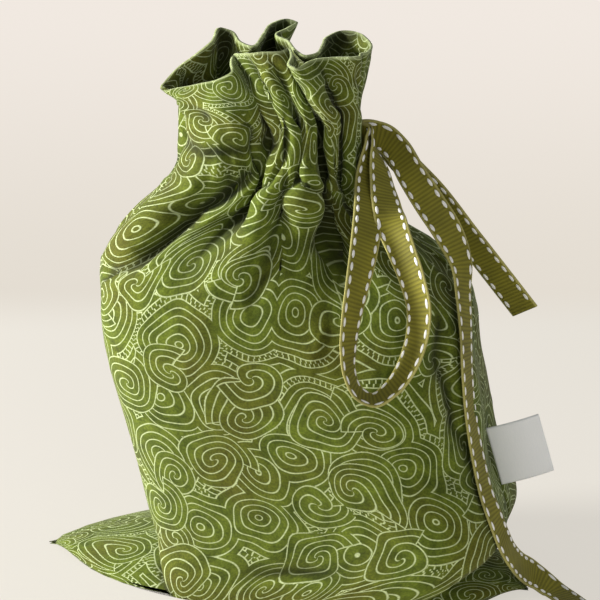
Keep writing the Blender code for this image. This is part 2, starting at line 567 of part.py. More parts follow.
def make_label(material):
    """Folded satin strip sewn in the right side seam, standing out from the seam."""
    up_steps, out_steps = 4, 6
    low = outer_row(LABEL_CLOTH_HEIGHT - LABEL_HEIGHT / 2.0)[0]
    high = outer_row(LABEL_CLOTH_HEIGHT + LABEL_HEIGHT / 2.0)[0]
    upward = (high - low) / np.linalg.norm(high - low)
    sideways = turned(np.array([[1.0, 0.0]]), NECK_TURN)[0]
    outward_dir = np.array([sideways[0], sideways[1], 0.10])
    outward_dir -= upward * (outward_dir @ upward)
    outward_dir /= np.linalg.norm(outward_dir)
    face = np.cross(outward_dir, upward)
    seat = LABEL_THICKNESS / 2.0 + 2.0 * CLEARANCE
    points = []
    for side in (-1, 1):
        for i in range(out_steps + 1):
            for j in range(up_steps + 1):
                out = i / out_steps
                bow = 0.0016 * math.sin(math.pi * out) * (0.4 + 0.6 * j / up_steps)
                points.append((low + high) / 2.0 + outward_dir * (seat + LABEL_PROUD * out)
                              + upward * LABEL_HEIGHT * (j / up_steps - 0.5)
                              + face * (bow + side * LABEL_THICKNESS / 2.0))
    row, plane = up_steps + 1, (up_steps + 1) * (out_steps + 1)
    faces = []
    for i in range(out_steps):
        for j in range(up_steps):
            a = i * row + j
            faces += [(a, a + 1, a + row + 1, a + row),
                      (plane + a, plane + a + row, plane + a + row + 1, plane + a + 1)]
    rim = ([i * row for i in range(out_steps)] + [out_steps * row + j for j in range(up_steps)]
           + [i * row + up_steps for i in range(out_steps, 0, -1)] + list(range(up_steps, 0, -1)))
    for a, b in zip(rim, rim[1:] + rim[:1]):
        faces.append((a, b, plane + b, plane + a))
    return new_object("side_label", points, faces, material)


def main():
    remove_everything()
    cotton = plain_material("printed_cotton", (0.135, 0.160, 0.045), 0.85)
    grosgrain = plain_material("grosgrain_ribbon", (0.115, 0.100, 0.022), 0.70)
    satin = plain_material("satin_label", (0.70, 0.71, 0.70), 0.35)
    cloth = make_cloth(cotton)
    cut(cloth, ring_cutter())
    cut(cloth, slit_cutter())
    make_drawstring_ring(grosgrain)
    make_free_ribbon("ribbon_front_loop", FRONT_LOOP, grosgrain)
    make_free_ribbon("ribbon_long_tail", LONG_TAIL, grosgrain)
    make_free_ribbon("ribbon_short_tail", SHORT_TAIL, grosgrain)
    make_label(satin)


main()
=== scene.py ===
# Drawstring pouch of printed cotton with a grosgrain ribbon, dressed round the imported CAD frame.
# Lengths in the tables are millimetres and are turned to metres where they are used.
import math
import bpy
import numpy as np
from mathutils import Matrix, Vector


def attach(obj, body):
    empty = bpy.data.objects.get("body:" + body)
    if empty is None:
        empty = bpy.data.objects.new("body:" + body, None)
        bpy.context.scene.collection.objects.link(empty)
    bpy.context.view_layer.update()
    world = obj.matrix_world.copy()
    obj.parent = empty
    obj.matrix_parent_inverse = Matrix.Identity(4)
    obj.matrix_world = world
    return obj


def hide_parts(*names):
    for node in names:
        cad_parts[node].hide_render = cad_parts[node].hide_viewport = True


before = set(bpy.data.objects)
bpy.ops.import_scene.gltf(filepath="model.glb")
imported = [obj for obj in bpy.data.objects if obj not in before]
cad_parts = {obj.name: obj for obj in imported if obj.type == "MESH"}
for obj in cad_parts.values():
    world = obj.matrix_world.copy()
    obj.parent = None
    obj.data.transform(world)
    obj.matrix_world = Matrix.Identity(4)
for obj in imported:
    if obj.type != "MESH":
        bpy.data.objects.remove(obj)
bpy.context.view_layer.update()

mm = 0.001


def ease(x):
    x = np.clip(x, 0.0, 1.0)  # 3x^2 - 2x^3: flat at both ends
    return x * x * (3.0 - 2.0 * x)


def turnPlan(points, degrees):
    # plan points turned about Z
    a = math.radians(degrees)
    x, y = points[..., 0], points[..., 1]
    return np.stack([x * math.cos(a) - y * math.sin(a), x * math.sin(a) + y * math.cos(a)], -1)


def curveThrough(at, knots, values):
    # cubic through the values, the slope at each knot taken from its two neighbours
    knots = np.asarray(knots, float)
    values = np.asarray(values, float)
    slopes = np.gradient(values, knots, axis=0)
    at = np.clip(np.atleast_1d(np.asarray(at, float)), knots[0], knots[-1])
    i = np.clip(np.searchsorted(knots, at, side="right") - 1, 0, len(knots) - 2)
    step = knots[i + 1] - knots[i]
    t = (at - knots[i]) / step
    wide = (slice(None),) + (None,) * (values.ndim - 1)
    t, step = t[wide], step[wide]
    return ((2 * t**3 - 3 * t**2 + 1) * values[i] + (t**3 - 2 * t**2 + t) * step * slopes[i]
            + (3 * t**2 - 2 * t**3) * values[i + 1] + (t**3 - t**2) * step * slopes[i + 1])


def softNoise(x, y, seed):
    # random values from -1 to 1 on a unit lattice that repeats, eased between lattice points
    wide, high = 97, 89
    table = np.random.default_rng(seed).uniform(-1.0, 1.0, (wide, high))
    i, j = np.floor(x).astype(int), np.floor(y).astype(int)
    a, b = ease(x - i), ease(y - j)
    i0, i1, j0, j1 = i % wide, (i + 1) % wide, j % high, (j + 1) % high
    low = table[i0, j0] * (1 - a) + table[i1, j0] * a
    high = table[i0, j1] * (1 - a) + table[i1, j1] * a
    return low * (1 - b) + high * b


def unit(v):
    # each vector over its own length
    return v / np.maximum(np.linalg.norm(v, axis=-1, keepdims=True), 1e-12)


def runOf(points):
    # distance along a line of points from the first one: the running sum of its steps
    return np.concatenate([[0.0], np.cumsum(np.linalg.norm(np.diff(points, axis=0), axis=1))])


def linear(hexColour):
    # sRGB hex to the linear values that sockets hold
    c = np.array([int(hexColour[k:k + 2], 16) for k in (1, 3, 5)]) / 255.0
    c = np.where(c <= 0.04045, c / 12.92, ((c + 0.055) / 1.055) ** 2.4)
    return (*map(float, c), 1.0)


def addNode(tree, kind, inputs=(), **settings):
    # one node with its settings; an input is a node, a socket or a plain value
    made = tree.nodes.new("ShaderNode" + kind)
    for name, value in settings.items():
        setattr(made, name, value)
    named = inputs.items() if isinstance(inputs, dict) else enumerate(inputs)
    for key, value in named:
        if value is None:
            continue
        if isinstance(value, bpy.types.Node):
            value = value.outputs[0]
        if isinstance(value, bpy.types.NodeSocket):
            tree.links.new(value, made.inputs[key])
        else:
            made.inputs[key].default_value = value
    return made


def newMaterial(name):
    made = bpy.data.materials.new(name)
    made.use_nodes = True
    return made, made.node_tree, made.node_tree.nodes["Principled BSDF"]


def meshPiece(name, points, quads, material, uv=None, ends=()):
    # mesh object at the origin from arrays of points and faces, smooth shaded; the uv is one
    # place for each corner of the quads, and the ends are faces with more sides
    mesh = bpy.data.meshes.new(name)
    faces = quads.tolist() + [list(map(int, e)) for e in ends]
    mesh.from_pydata(points.reshape(-1, 3).tolist(), [], faces)
    if uv is not None:
        layer = mesh.uv_layers.new(name="UVMap")
        flat = np.zeros((len(mesh.loops), 2))
        flat[:len(uv)] = uv
        layer.data.foreach_set("uv", flat.ravel())
    mesh.shade_smooth()
    mesh.materials.append(material)
    made = bpy.data.objects.new(name, mesh)
    bpy.context.scene.collection.objects.link(made)
    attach(made, "root")
    return made


camera = {"azimuth": 20.0, "elevation": 18.0, "distance": 850.0, "target": (0.58, 1.35, 95.0),
          "fieldOfView": 13.29, "nearClip": 0.05}


def makeCamera():
    # stands off the target by azimuth and elevation, and looks at it
    az, el = math.radians(camera["azimuth"]), math.radians(camera["elevation"])
    away = Vector((math.sin(az) * math.cos(el), -math.cos(az) * math.cos(el), math.sin(el)))
    target = Vector(camera["target"]) * mm
    data = bpy.data.cameras.new("camera")
    data.angle = math.radians(camera["fieldOfView"])
    data.clip_start = camera["nearClip"]
    made = bpy.data.objects.new("camera", data)
    made.location = target + away * camera["distance"] * mm
    made.rotation_euler = (-away).to_track_quat("-Z", "Y").to_euler()
    bpy.context.scene.collection.objects.link(made)
    bpy.context.scene.camera = made


makeCamera()
print("camera made")

planShift = np.array([6.5, 3.5, 0.0])  # the frame's origin is the middle of the standing pouch

ribbon = {"width": 10.0, "thickness": 0.7, "step": 0.2, "ribPitch": 0.66, "ribHeight": 0.05,
          # the groove colour is painted shade and the rib top colour is painted light
          "groove": "#6b671b", "litRibTop": "#8b8529", "selvedge": "#c6bf78", "selvedgeTint": 0.55,
          "selvedgeFrom": 4.15, "selvedgeTo": 4.7, "fibreScale": 2600.0, "fadeScale": 90.0,
          "stitchPitch": 4.2, "stitchLength": 2.9, "stitchWidth": 1.15, "stitchProud": 0.38,
          "stitchInset": 1.25, "stitchSink": 0.05, "firstStitch": 0.9, "lastStitch": 0.7,
          "thread": ("#f4f2ea", "#ffffff")}
# half of the strip's profile across its width: place, and share of the half thickness
profileSide = np.array([-1.0, -0.93, -0.62, -0.3, 0.0, 0.3, 0.62, 0.93, 1.0])
profileHalf = np.array([0.35, 1.0, 0.94, 0.9, 0.9, 0.9, 0.94, 1.0, 0.35])

# middle of the strip and the way across it, as in the CAD routes
frontLoopRoute = np.array([
    (14.3, -2.1, 152.0, 0.00, 0.00, 1.00), (17.0, -2.4, 151.8, 0.00, -0.16, 0.98),
    (19.0, -5.4, 149.6, -0.14, -0.56, 0.80), (20.3, -8.6, 145.8, -0.44, -0.70, 0.52),
    (21.4, -12.6, 142.0, -0.66, -0.66, 0.32), (22.8, -17.2, 139.2, -0.70, -0.68, 0.20),
    (24.4, -22.0, 136.6, -0.62, -0.75, 0.08),
    (26.4, -29.8, 131.0, -0.60, -0.78, 0.00), (27.5, -36.8, 124.0, -0.52, -0.82, 0.00),
    (27.8, -43.1, 115.8, -0.42, -0.90, 0.00), (27.6, -47.6, 107.4, -0.32, -0.94, 0.00),
    (27.5, -50.4, 98.3, -0.20, -0.98, 0.00), (28.4, -51.4, 89.8, 0.00, -1.00, 0.00),
    (31.1, -50.7, 83.6, 0.20, -0.97, -0.10), (35.5, -48.9, 81.2, 0.42, -0.90, -0.10),
    (40.4, -46.2, 84.8, 0.62, -0.76, -0.10), (44.7, -43.3, 92.4, 0.76, -0.62, -0.10),
    (46.6, -40.7, 100.5, 0.82, -0.52, -0.10), (46.4, -38.4, 108.6, 0.88, -0.44, -0.10),
    (43.1, -35.2, 117.1, 0.90, -0.40, -0.12), (38.0, -30.7, 125.0, 0.90, -0.38, -0.18),
    (32.8, -25.3, 132.0, 0.88, -0.30, -0.34), (28.6, -18.2, 137.0, 0.80, -0.10, -0.52),
    (25.4, -12.4, 141.6, 0.66, 0.24, -0.66), (22.8, -7.6, 146.0, 0.44, 0.52, -0.70),
    (20.2, -4.0, 149.8, 0.12, 0.46, -0.86), (17.2, -1.3, 151.8, 0.00, 0.10, -0.99),
    (14.1, -1.0, 152.0, 0.00, 0.00, -1.00)])
longTailRoute = np.array([
    (13.6, 0.3, 152.0, 0.00, 0.00, 1.00), (16.8, 1.4, 152.2, 0.00, 0.00, 1.00),
    (21.4, 1.8, 151.4, 0.16, 0.04, 0.96), (26.2, 0.6, 148.2, 0.44, 0.06, 0.86),
    (31.8, -2.2, 141.8, 0.58, 0.14, 0.78), (38.6, -4.4, 133.6, 0.60, 0.34, 0.65),
    (45.4, -5.6, 124.8, 0.50, 0.60, 0.50), (50.3, -7.0, 115.6, 0.32, 0.86, 0.24),
    (52.6, -11.0, 105.4, 0.12, 0.98, 0.08), (55.0, -15.6, 95.0, 0.06, 1.00, 0.00),
    (56.2, -17.8, 85.0, 0.04, 1.00, 0.00), (57.8, -17.6, 68.2, 0.04, 1.00, 0.00),
    (60.4, -16.6, 52.8, 0.08, 0.99, -0.03), (64.0, -17.6, 40.6, 0.12, 0.98, -0.06),
    (66.7, -18.4, 34.8, 0.12, 0.98, 0.04), (69.2, -16.8, 27.0, 0.04, 0.96, 0.28),
    (71.2, -10.5, 17.8, -0.10, 0.85, 0.50), (72.8, -3.0, 11.0, -0.08, 0.82, 0.55),
    (75.6, 3.5, 5.8, 0.16, 0.92, 0.30), (80.8, 4.5, 1.8, 0.46, 0.87, 0.06),
    (87.0, 0.5, 0.8, 0.62, 0.78, 0.00), (93.5, -6.0, 0.8, 0.72, 0.70, 0.00),
    (100.0, -13.0, 0.8, 0.72, 0.69, 0.00), (107.5, -20.0, 0.8, 0.64, 0.76, 0.00),
    (116.0, -25.5, 0.8, 0.46, 0.88, 0.00), (125.0, -28.5, 0.8, 0.22, 0.97, 0.00)])
shortTailRoute = np.array([
    (13.1, 1.5, 152.0, 0.00, 0.00, 1.00), (16.2, 2.8, 152.0, 0.02, 0.04, 1.00),
    (20.4, 4.8, 150.0, 0.26, 0.02, 0.94), (26.4, 5.6, 143.4, 0.60, -0.12, 0.74),
    (35.9, 8.2, 133.4, 0.70, -0.20, 0.66), (46.3, 12.4, 118.6, 0.70, -0.20, 0.66),
    (56.4, 18.3, 103.2, 0.70, -0.20, 0.66), (64.0, 23.3, 91.2, 0.70, -0.20, 0.66)])


def grosgrainMaterial():
    # Polyester grosgrain, woven with thick weft: fine ribs across, a dry soft shine along them.
    # A rib is a triangle wave along the strip, painted darker in its groove as shade and lighter on its
    # top as light. Noise scales are per metre: fibres of about 0.4 mm and fading over about 11 mm.
    made, tree, shader = newMaterial("wovenPolyesterGrosgrain")
    uv = addNode(tree, "UVMap", uv_map="UVMap")
    spot = addNode(tree, "SeparateXYZ", [uv])
    along = addNode(tree, "Math", [spot.outputs[1], 1.0 / (ribbon["ribPitch"] * mm)],
                    operation="MULTIPLY")
    rib = addNode(tree, "Math", [along, 1.0], operation="PINGPONG")  # painted shade: a dark line in each groove
    fine = addNode(tree, "TexNoise", {"Vector": uv, "Scale": ribbon["fibreScale"], "Detail": 2.0},
                   noise_dimensions="2D")
    broad = addNode(tree, "TexNoise", {"Vector": uv, "Scale": ribbon["fadeScale"], "Detail": 3.0},
                    noise_dimensions="2D")
    across = addNode(tree, "Math", [spot.outputs[0]], operation="ABSOLUTE")
    edge = addNode(tree, "MapRange", {"Value": across, 1: ribbon["selvedgeFrom"] * mm,
                                      2: ribbon["selvedgeTo"] * mm}, interpolation_type="SMOOTHSTEP")
    ribs = addNode(tree, "Mix", {0: rib, 6: linear(ribbon["groove"]), 7: linear(ribbon["litRibTop"])},
                   data_type="RGBA")
    amount = addNode(tree, "Math", [edge, ribbon["selvedgeTint"]], operation="MULTIPLY")
    edged = addNode(tree, "Mix", {0: amount, 6: ribs.outputs[2], 7: linear(ribbon["selvedge"])},
                    data_type="RGBA")
    shade = addNode(tree, "MapRange", {"Value": broad, 1: 0.3, 2: 0.7, 3: 0.82, 4: 1.12})
    tint = addNode(tree, "HueSaturation", {"Value": shade, "Color": edged.outputs[2]})
    tree.links.new(tint.outputs[0], shader.inputs["Base Color"])
    height = addNode(tree, "Math", [rib, 0.6, fine], operation="MULTIPLY_ADD")
    bump = addNode(tree, "Bump", {"Height": height, "Strength": 0.5, "Distance": 0.12 * mm})
    tree.links.new(bump.outputs[0], shader.inputs["Normal"])
    shader.inputs["Roughness"].default_value = 0.7
    shader.inputs["Specular IOR Level"].default_value = 0.3
    shader.inputs["Sheen Weight"].default_value = 0.12
    shader.inputs["Sheen Roughness"].default_value = 0.4
    return made


def stitchMaterial():
    # Twisted cotton saddle thread: matt off-white with a soft twist, painted darker where the twist
    # sinks
    made, tree, shader = newMaterial("twistedCottonThread")
    place = addNode(tree, "TexCoord")
    noise = addNode(tree, "TexNoise", {"Vector": place.outputs["Object"], "Scale": 1800.0,
                                       "Detail": 2.0})
    # painted shade and light: the thread's colour is darker where its bump sinks and lighter where it
    # rises
    shadow, top = map(linear, ribbon["thread"])
    mix = addNode(tree, "Mix", {0: noise, 6: shadow, 7: top}, data_type="RGBA")
    tree.links.new(mix.outputs[2], shader.inputs["Base Color"])
    bump = addNode(tree, "Bump", {"Height": noise, "Strength": 0.4, "Distance": 0.1 * mm})
    tree.links.new(bump.outputs[0], shader.inputs["Normal"])
    shader.inputs["Roughness"].default_value = 0.8
    return made


def stripFrames(route, step):
    # even steps along the smooth route, each with its way along, across and out of the face
    line, side = (route[:, :3] + planShift) * mm, route[:, 3:]
    run = runOf(line)
    at = np.linspace(0.0, run[-1], max(int(round(run[-1] / step)), 4) + 1)
    middle, across = curveThrough(at, run, line), curveThrough(at, run, side)
    along = unit(np.gradient(middle, axis=0))
    across = unit(across - along * np.sum(across * along, axis=1, keepdims=True))
    trueRun = runOf(middle)
    return middle, across, np.cross(along, across), trueRun


def ribbedStrip(name, frames, width, thickness, material, ribs):
    # Flat closed profile carried along the frames. Half thickness swells at each selvedge and,
    # on a ribbed strip, rises and falls with the ribs.
    middle, across, face, run = frames
    half = 0.5 * thickness * profileHalf
    a = np.concatenate([profileSide, profileSide[::-1]]) * 0.5 * width
    b = np.concatenate([half, -half[::-1]])
    sign = np.sign(b)
    swell = ribs * mm * 0.5 * (1 - np.cos(2 * math.pi * run / (ribbon["ribPitch"] * mm)))
    grid = (middle[:, None] + across[:, None] * a[None, :, None]
            + face[:, None] * (b[None, :] + sign[None, :] * swell[:, None])[..., None])
    rows, cols = grid.shape[:2]
    r, c = np.meshgrid(np.arange(rows - 1), np.arange(cols), indexing="ij")
    d = (c + 1) % cols
    quads = np.stack([r * cols + c, (r + 1) * cols + c, (r + 1) * cols + d, r * cols + d], -1)
    quads = quads.reshape(-1, 4)
    u = np.stack([a[c], a[c], a[d], a[d]], -1)
    v = np.stack([run[r], run[r + 1], run[r + 1], run[r]], -1)
    uv = np.stack([u, v], -1).reshape(-1, 2)
    ends = (np.arange(cols), (rows - 1) * cols + np.arange(cols)[::-1])
    return meshPiece(name, grid, quads, material, uv, ends)


def saddleStitches(name, frames, material):
    # Each stitch is a stretched ellipsoid lying along the strip: radius falls as the root of
    # one less the square of the place along it. A row near each edge, on both faces.
    middle, across, face, run = frames
    pitch, length = ribbon["stitchPitch"] * mm, ribbon["stitchLength"] * mm
    starts = np.arange(ribbon["firstStitch"] * pitch, run[-1] - ribbon["lastStitch"] * pitch, pitch)
    t = np.linspace(-0.97, 0.97, 7)
    f = np.arange(8) / 8.0 * 2 * math.pi
    radius = np.sqrt(1.0 - t**2)
    blocks = []
    for edge in (-1.0, 1.0):
        for side in (-1.0, 1.0):
            at = starts[:, None] + t[None, :] * 0.5 * length
            place = np.stack([np.interp(at, run, middle[:, k]) for k in range(3)], -1)
            over = unit(np.stack([np.interp(at, run, across[:, k]) for k in range(3)], -1))
            out = unit(np.stack([np.interp(at, run, face[:, k]) for k in range(3)], -1))
            a = edge * (0.5 * ribbon["width"] - ribbon["stitchInset"]) * mm
            b = side * (0.5 * ribbon["thickness"] - ribbon["stitchSink"]) * mm
            ringA = a + 0.5 * ribbon["stitchWidth"] * mm * radius[:, None] * np.cos(f)
            ringB = b + ribbon["stitchProud"] * mm * radius[:, None] * np.sin(f)
            blocks.append(place[:, :, None] + over[:, :, None] * ringA[None, ..., None]
                          + out[:, :, None] * ringB[None, ..., None])
    grid = np.concatenate(blocks)
    count, rings, around = grid.shape[:3]
    s, r, c = np.meshgrid(np.arange(count), np.arange(rings - 1), np.arange(around), indexing="ij")
    base = s * rings * around
    d = (c + 1) % around
    quads = np.stack([base + r * around + c, base + (r + 1) * around + c,
                      base + (r + 1) * around + d, base + r * around + d], -1).reshape(-1, 4)
    first = np.arange(count)[:, None] * rings * around + np.arange(around)
    last = first[:, ::-1] + (rings - 1) * around
    return meshPiece(name, grid, quads, material, None, list(first) + list(last))


grosgrain = grosgrainMaterial()
thread = stitchMaterial()
for title, node, route, farEnd, lay in (
        ("ribbonFrontLoop", "ribbon_front_loop", frontLoopRoute, "object", "hanging"),
        ("ribbonLongTail", "ribbon_long_tail", longTailRoute, "bare", "loose"),
        ("ribbonShortTail", "ribbon_short_tail", shortTailRoute, "bare", "hanging")):
    frames = stripFrames(route, ribbon["step"] * mm)
    strip = ribbedStrip(title, frames, ribbon["width"] * mm, ribbon["thickness"] * mm, grosgrain,
                        ribbon["ribHeight"])
    stitches = saddleStitches(title + "Stitches", frames, thread)
    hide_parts(node)
    print(title, "%.1f mm long" % (frames[3][-1] / mm))

cloth = {"flatWidth": 168.0, "baseFold": 42.0, "bodyHeight": 145.0, "bodyCloth": 156.0,
         "casingHeight": 14.0, "ruffleCloth": 30.0, "wall": 0.9,
         "earHeight": 11.0, "earFade": 30.0, "earBow": 7.0, "earRound": 0.8, "earPower": 0.7,
         "cornerFade": 35.0,
         "neckHalf": (23.6, 12.0), "neckCentre": (-10.8, -8.7), "neckTurn": 20.0, "rootOut": 1.7,
         "pleatCloth": 1.7, "pleatPinch": 0.75, "pleatRound": 0.8,
         "gatherFrom": 0.66, "gatherPower": 1.2, "leftLater": 0.8,
         "pleatsFrom": 0.68, "pleatsOver": 0.33, "pleatsPower": 1.3, "flarePower": 1.15,
         "columns": 88, "finer": 4, "endColumns": (9, 11), "evenUpTo": 0.7, "foldEnds": 0.12,
         "slitHalfWidth": 7.22, "slitHalfHeight": 5.8, "slitDepth": 1.3}
turnSteps = 1440  # quarter degrees round a section
clothRound = 2 * cloth["flatWidth"]
clothTop = cloth["baseFold"] + cloth["bodyCloth"]
casingTop = clothTop + cloth["casingHeight"]
clothEnd = casingTop + cloth["ruffleCloth"]

# share of the body height, centre x and y, half width and depth, turn, squareness of the corners
bodySections = [
    (0.110, 6.0, 0.3, 56.3, 41.0, 4.0, 5.0), (0.345, -0.7, -1.8, 58.0, 43.0, 7.0, 4.0),
    (0.517, -5.5, -3.3, 59.7, 44.0, 9.0, 3.6), (0.676, -9.0, -5.0, 60.0, 43.0, 11.0, 3.2),
    (0.772, -10.9, -6.6, 58.0, 40.0, 13.0, 2.8), (0.862, -14.2, -7.3, 53.0, 34.0, 16.0, 2.5),
    (0.945, -17.4, -8.2, 45.0, 26.0, 18.0, 2.3), (1.007, -19.7, -9.2, 37.0, 18.0, 20.0, 2.1),
    (1.310, -19.7, -9.2, 37.0, 18.0, 20.0, 2.1)]
baseCorners = np.array([(-42.0, -43.0), (34.0, -37.0), (54.0, 34.0), (-46.0, 44.0)])
baseSquareness = 9.0
earTips = np.array([(-94.0, -15.0), (73.0, 4.0)])
clothShare = [0.0, 0.321, 0.641, 0.821, 1.0]
heightShare = [0.0, 0.345, 0.676, 0.852, 1.0]

# pleats round the neck: width, depth, mesh columns
backPleats = [(4, 0.3, 2), (10, 5.0, 7), (11, 9.0, 7), (10, 8.0, 7), (11, 9.5, 7), (10, 8.5, 7),
              (11, 8.0, 7)]
frontPleats = [(30, 8.0, 12), (11, 10.0, 8), (5, 8.5, 7), (9, 10.0, 8), (8, 4.5, 7), (4, 0.3, 2)]

# edge of the ruffle, from the right seam to the left one: x, y, height over the casing
ruffleBack = [
    (17.9, -8.4, 21.5), (18.2, -1.9, 22.0), (13.2, 9.1, 23.0), (8.0, 14.6, 23.5),
    (1.8, 15.5, 23.5), (-1.2, 9.1, 22.5), (0.5, 0.2, 22.0), (1.2, -9.1, 21.0),
    (-0.5, -11.9, 21.0), (-4.2, -9.0, 21.5), (-10.1, -1.5, 23.0), (-15.6, 3.4, 23.5),
    (-13.7, 9.9, 24.5), (-13.4, 16.4, 25.0), (-18.2, 17.9, 25.5), (-21.1, 12.6, 25.0),
    (-20.5, 2.1, 23.5), (-20.5, -6.4, 21.5), (-25.5, -2.9, 21.5), (-32.4, 4.2, 23.5),
    (-35.5, 4.1, 24.0), (-35.1, -7.4, 21.5), (-38.3, -10.2, 18.5), (-43.7, -11.6, 14.0),
    (-48.3, -16.5, 7.5)]
ruffleFront = [
    (17.9, -8.4, 21.5), (16.3, -12.7, 21.5), (8.8, -15.4, 21.5), (3.9, -19.4, 21.0),
    (0.7, -25.3, 19.5), (-2.2, -23.2, 19.5), (-4.8, -14.5, 21.0), (-7.8, -9.2, 22.0),
    (-8.3, -13.7, 22.0), (-13.2, -16.5, 22.0), (-19.1, -17.6, 21.0), (-23.2, -13.8, 20.0),
    (-25.5, -10.3, 19.0), (-23.9, -16.2, 18.0), (-22.0, -21.3, 16.0), (-25.3, -24.1, 14.0),
    (-32.5, -21.9, 11.5), (-40.7, -19.6, 9.0), (-48.3, -16.5, 7.5)]

# folds as lines over the cloth (round from the right seam, up), height, half width, and how
# much narrower the fold is on its left side and on its right side
bodyFolds = [
    ([(190, 197), (184, 184), (180, 168), (180, 156)], 4.0, 8.0, 1.0, 1.0),
    ([(167, 206), (169, 197), (170, 186), (170, 174)], 4.6, 8.5, 1.0, 1.0),
    ([(210, 200), (203, 190), (200, 177), (201, 167), (200, 160), (194, 155)], -9.0, 8.5, 1.0, 0.28),
    ([(229, 197), (232, 189), (236, 179), (240, 170), (243, 160)], 4.0, 8.0, 1.1, 0.5),
    ([(220, 196), (224, 184), (231, 170)], -2.5, 5.0, 1.0, 0.8),
    ([(246, 199), (247, 190), (246, 180)], -3.5, 3.0, 1.0, 0.8),
    ([(259, 202), (265, 192), (265, 182), (257, 171)], 7.5, 11.5, 1.0, 0.7),
    ([(297, 201), (293, 187), (284, 175), (277, 164), (272, 150)], -8.0, 11.0, 0.8, 1.2),
    ([(325, 184), (318, 168), (306, 156)], 3.0, 7.0, 1.0, 1.0),
    ([(310, 146), (306, 138), (305, 130), (308, 120), (308, 108), (314, 98)], -3.6, 5.0, 1.0, 0.5),
    ([(318, 134), (320, 118), (323, 98), (322, 76)], 2.0, 7.0, 1.0, 1.0),
    ([(240, 54), (252, 57), (268, 57)], -1.6, 3.2, 1.0, 1.0),
    ([(172, 205), (190, 203), (206, 205), (226, 207)], -2.4, 3.4, 1.0, 1.0),
    ([(206, 214), (212, 205), (216, 196), (218, 186)], -4.5, 3.0, 1.0, 0.6),
    ([(243, 216), (239, 207), (232, 198), (225, 188)], -4.5, 2.8, 0.6, 1.0),
    ([(252, 215), (258, 206), (263, 197), (272, 188)], -4.0, 2.8, 1.0, 0.6),
    ([(284, 216), (281, 206), (283, 197), (280, 188)], -3.5, 2.8, 0.8, 1.0),
    ([(242, 242), (239, 228), (233, 214), (227, 205)], -4.0, 7.0, 0.6, 1.0),
    ([(196, 236), (201, 224), (200, 214)], 2.0, 6.0, 1.0, 1.0),
    ([(186, 228), (190, 219), (189, 210)], -1.8, 4.0, 1.0, 1.0),
    ([(312, 232), (310, 220), (304, 210)], -2.0, 5.0, 1.0, 1.0),
    ([(30, 185), (44, 165), (62, 150)], 3.0, 8.0, 1.0, 1.0),
    ([(90, 190), (88, 170), (84, 150)], -3.5, 8.0, 1.0, 1.0),
    ([(134, 186), (138, 166), (142, 150)], 3.0, 8.0, 1.0, 1.0)]


def neckTable():
    # start and share of the cloth, start and share of the neck, depth, for each pleat
    rows = []
    for start, pleats in ((0.0, backPleats), (0.5, frontPleats)):
        width = np.array([p[0] for p in pleats], float)
        depth = np.array([p[1] for p in pleats], float)
        length = width + cloth["pleatCloth"] * depth
        uLen, sLen = 0.5 * length / length.sum(), 0.5 * width / width.sum()
        uAt = start + np.concatenate([[0.0], np.cumsum(uLen)[:-1]])
        sAt = start + np.concatenate([[0.0], np.cumsum(sLen)[:-1]])
        rows += list(zip(uAt, uLen, sAt, sLen, depth))
    return np.array(rows)


pleatTable = neckTable()


def columnPlaces(v):
    # even round the body, and moved to the pleats towards the neck
    even = np.arange(cloth["columns"] + 1) / cloth["columns"]
    atPleats = []
    for row, pleat in zip(pleatTable, backPleats + frontPleats):
        atPleats += [row[0] + row[1] * k / pleat[2] for k in range(pleat[2])]
    atPleats = np.array(atPleats + [1.0])
    up = (v - cloth["baseFold"]) / (cloth["evenUpTo"] * cloth["bodyCloth"])
    coarse = even + (atPleats - even) * ease(up)
    count = cloth["columns"] * cloth["finer"]
    return np.interp(np.arange(count) / cloth["finer"], np.arange(cloth["columns"] + 1), coarse)


def heightOf(v):
    # height of the row at cloth length v: flat under the base, then by share of the body's cloth
    if v <= cloth["baseFold"]:
        return 0.0
    if v >= clothTop:
        return cloth["bodyHeight"] + min(v - clothTop, cloth["casingHeight"])
    share = (v - cloth["baseFold"]) / cloth["bodyCloth"]
    return float(curveThrough(share, clothShare, heightShare)[0]) * cloth["bodyHeight"]


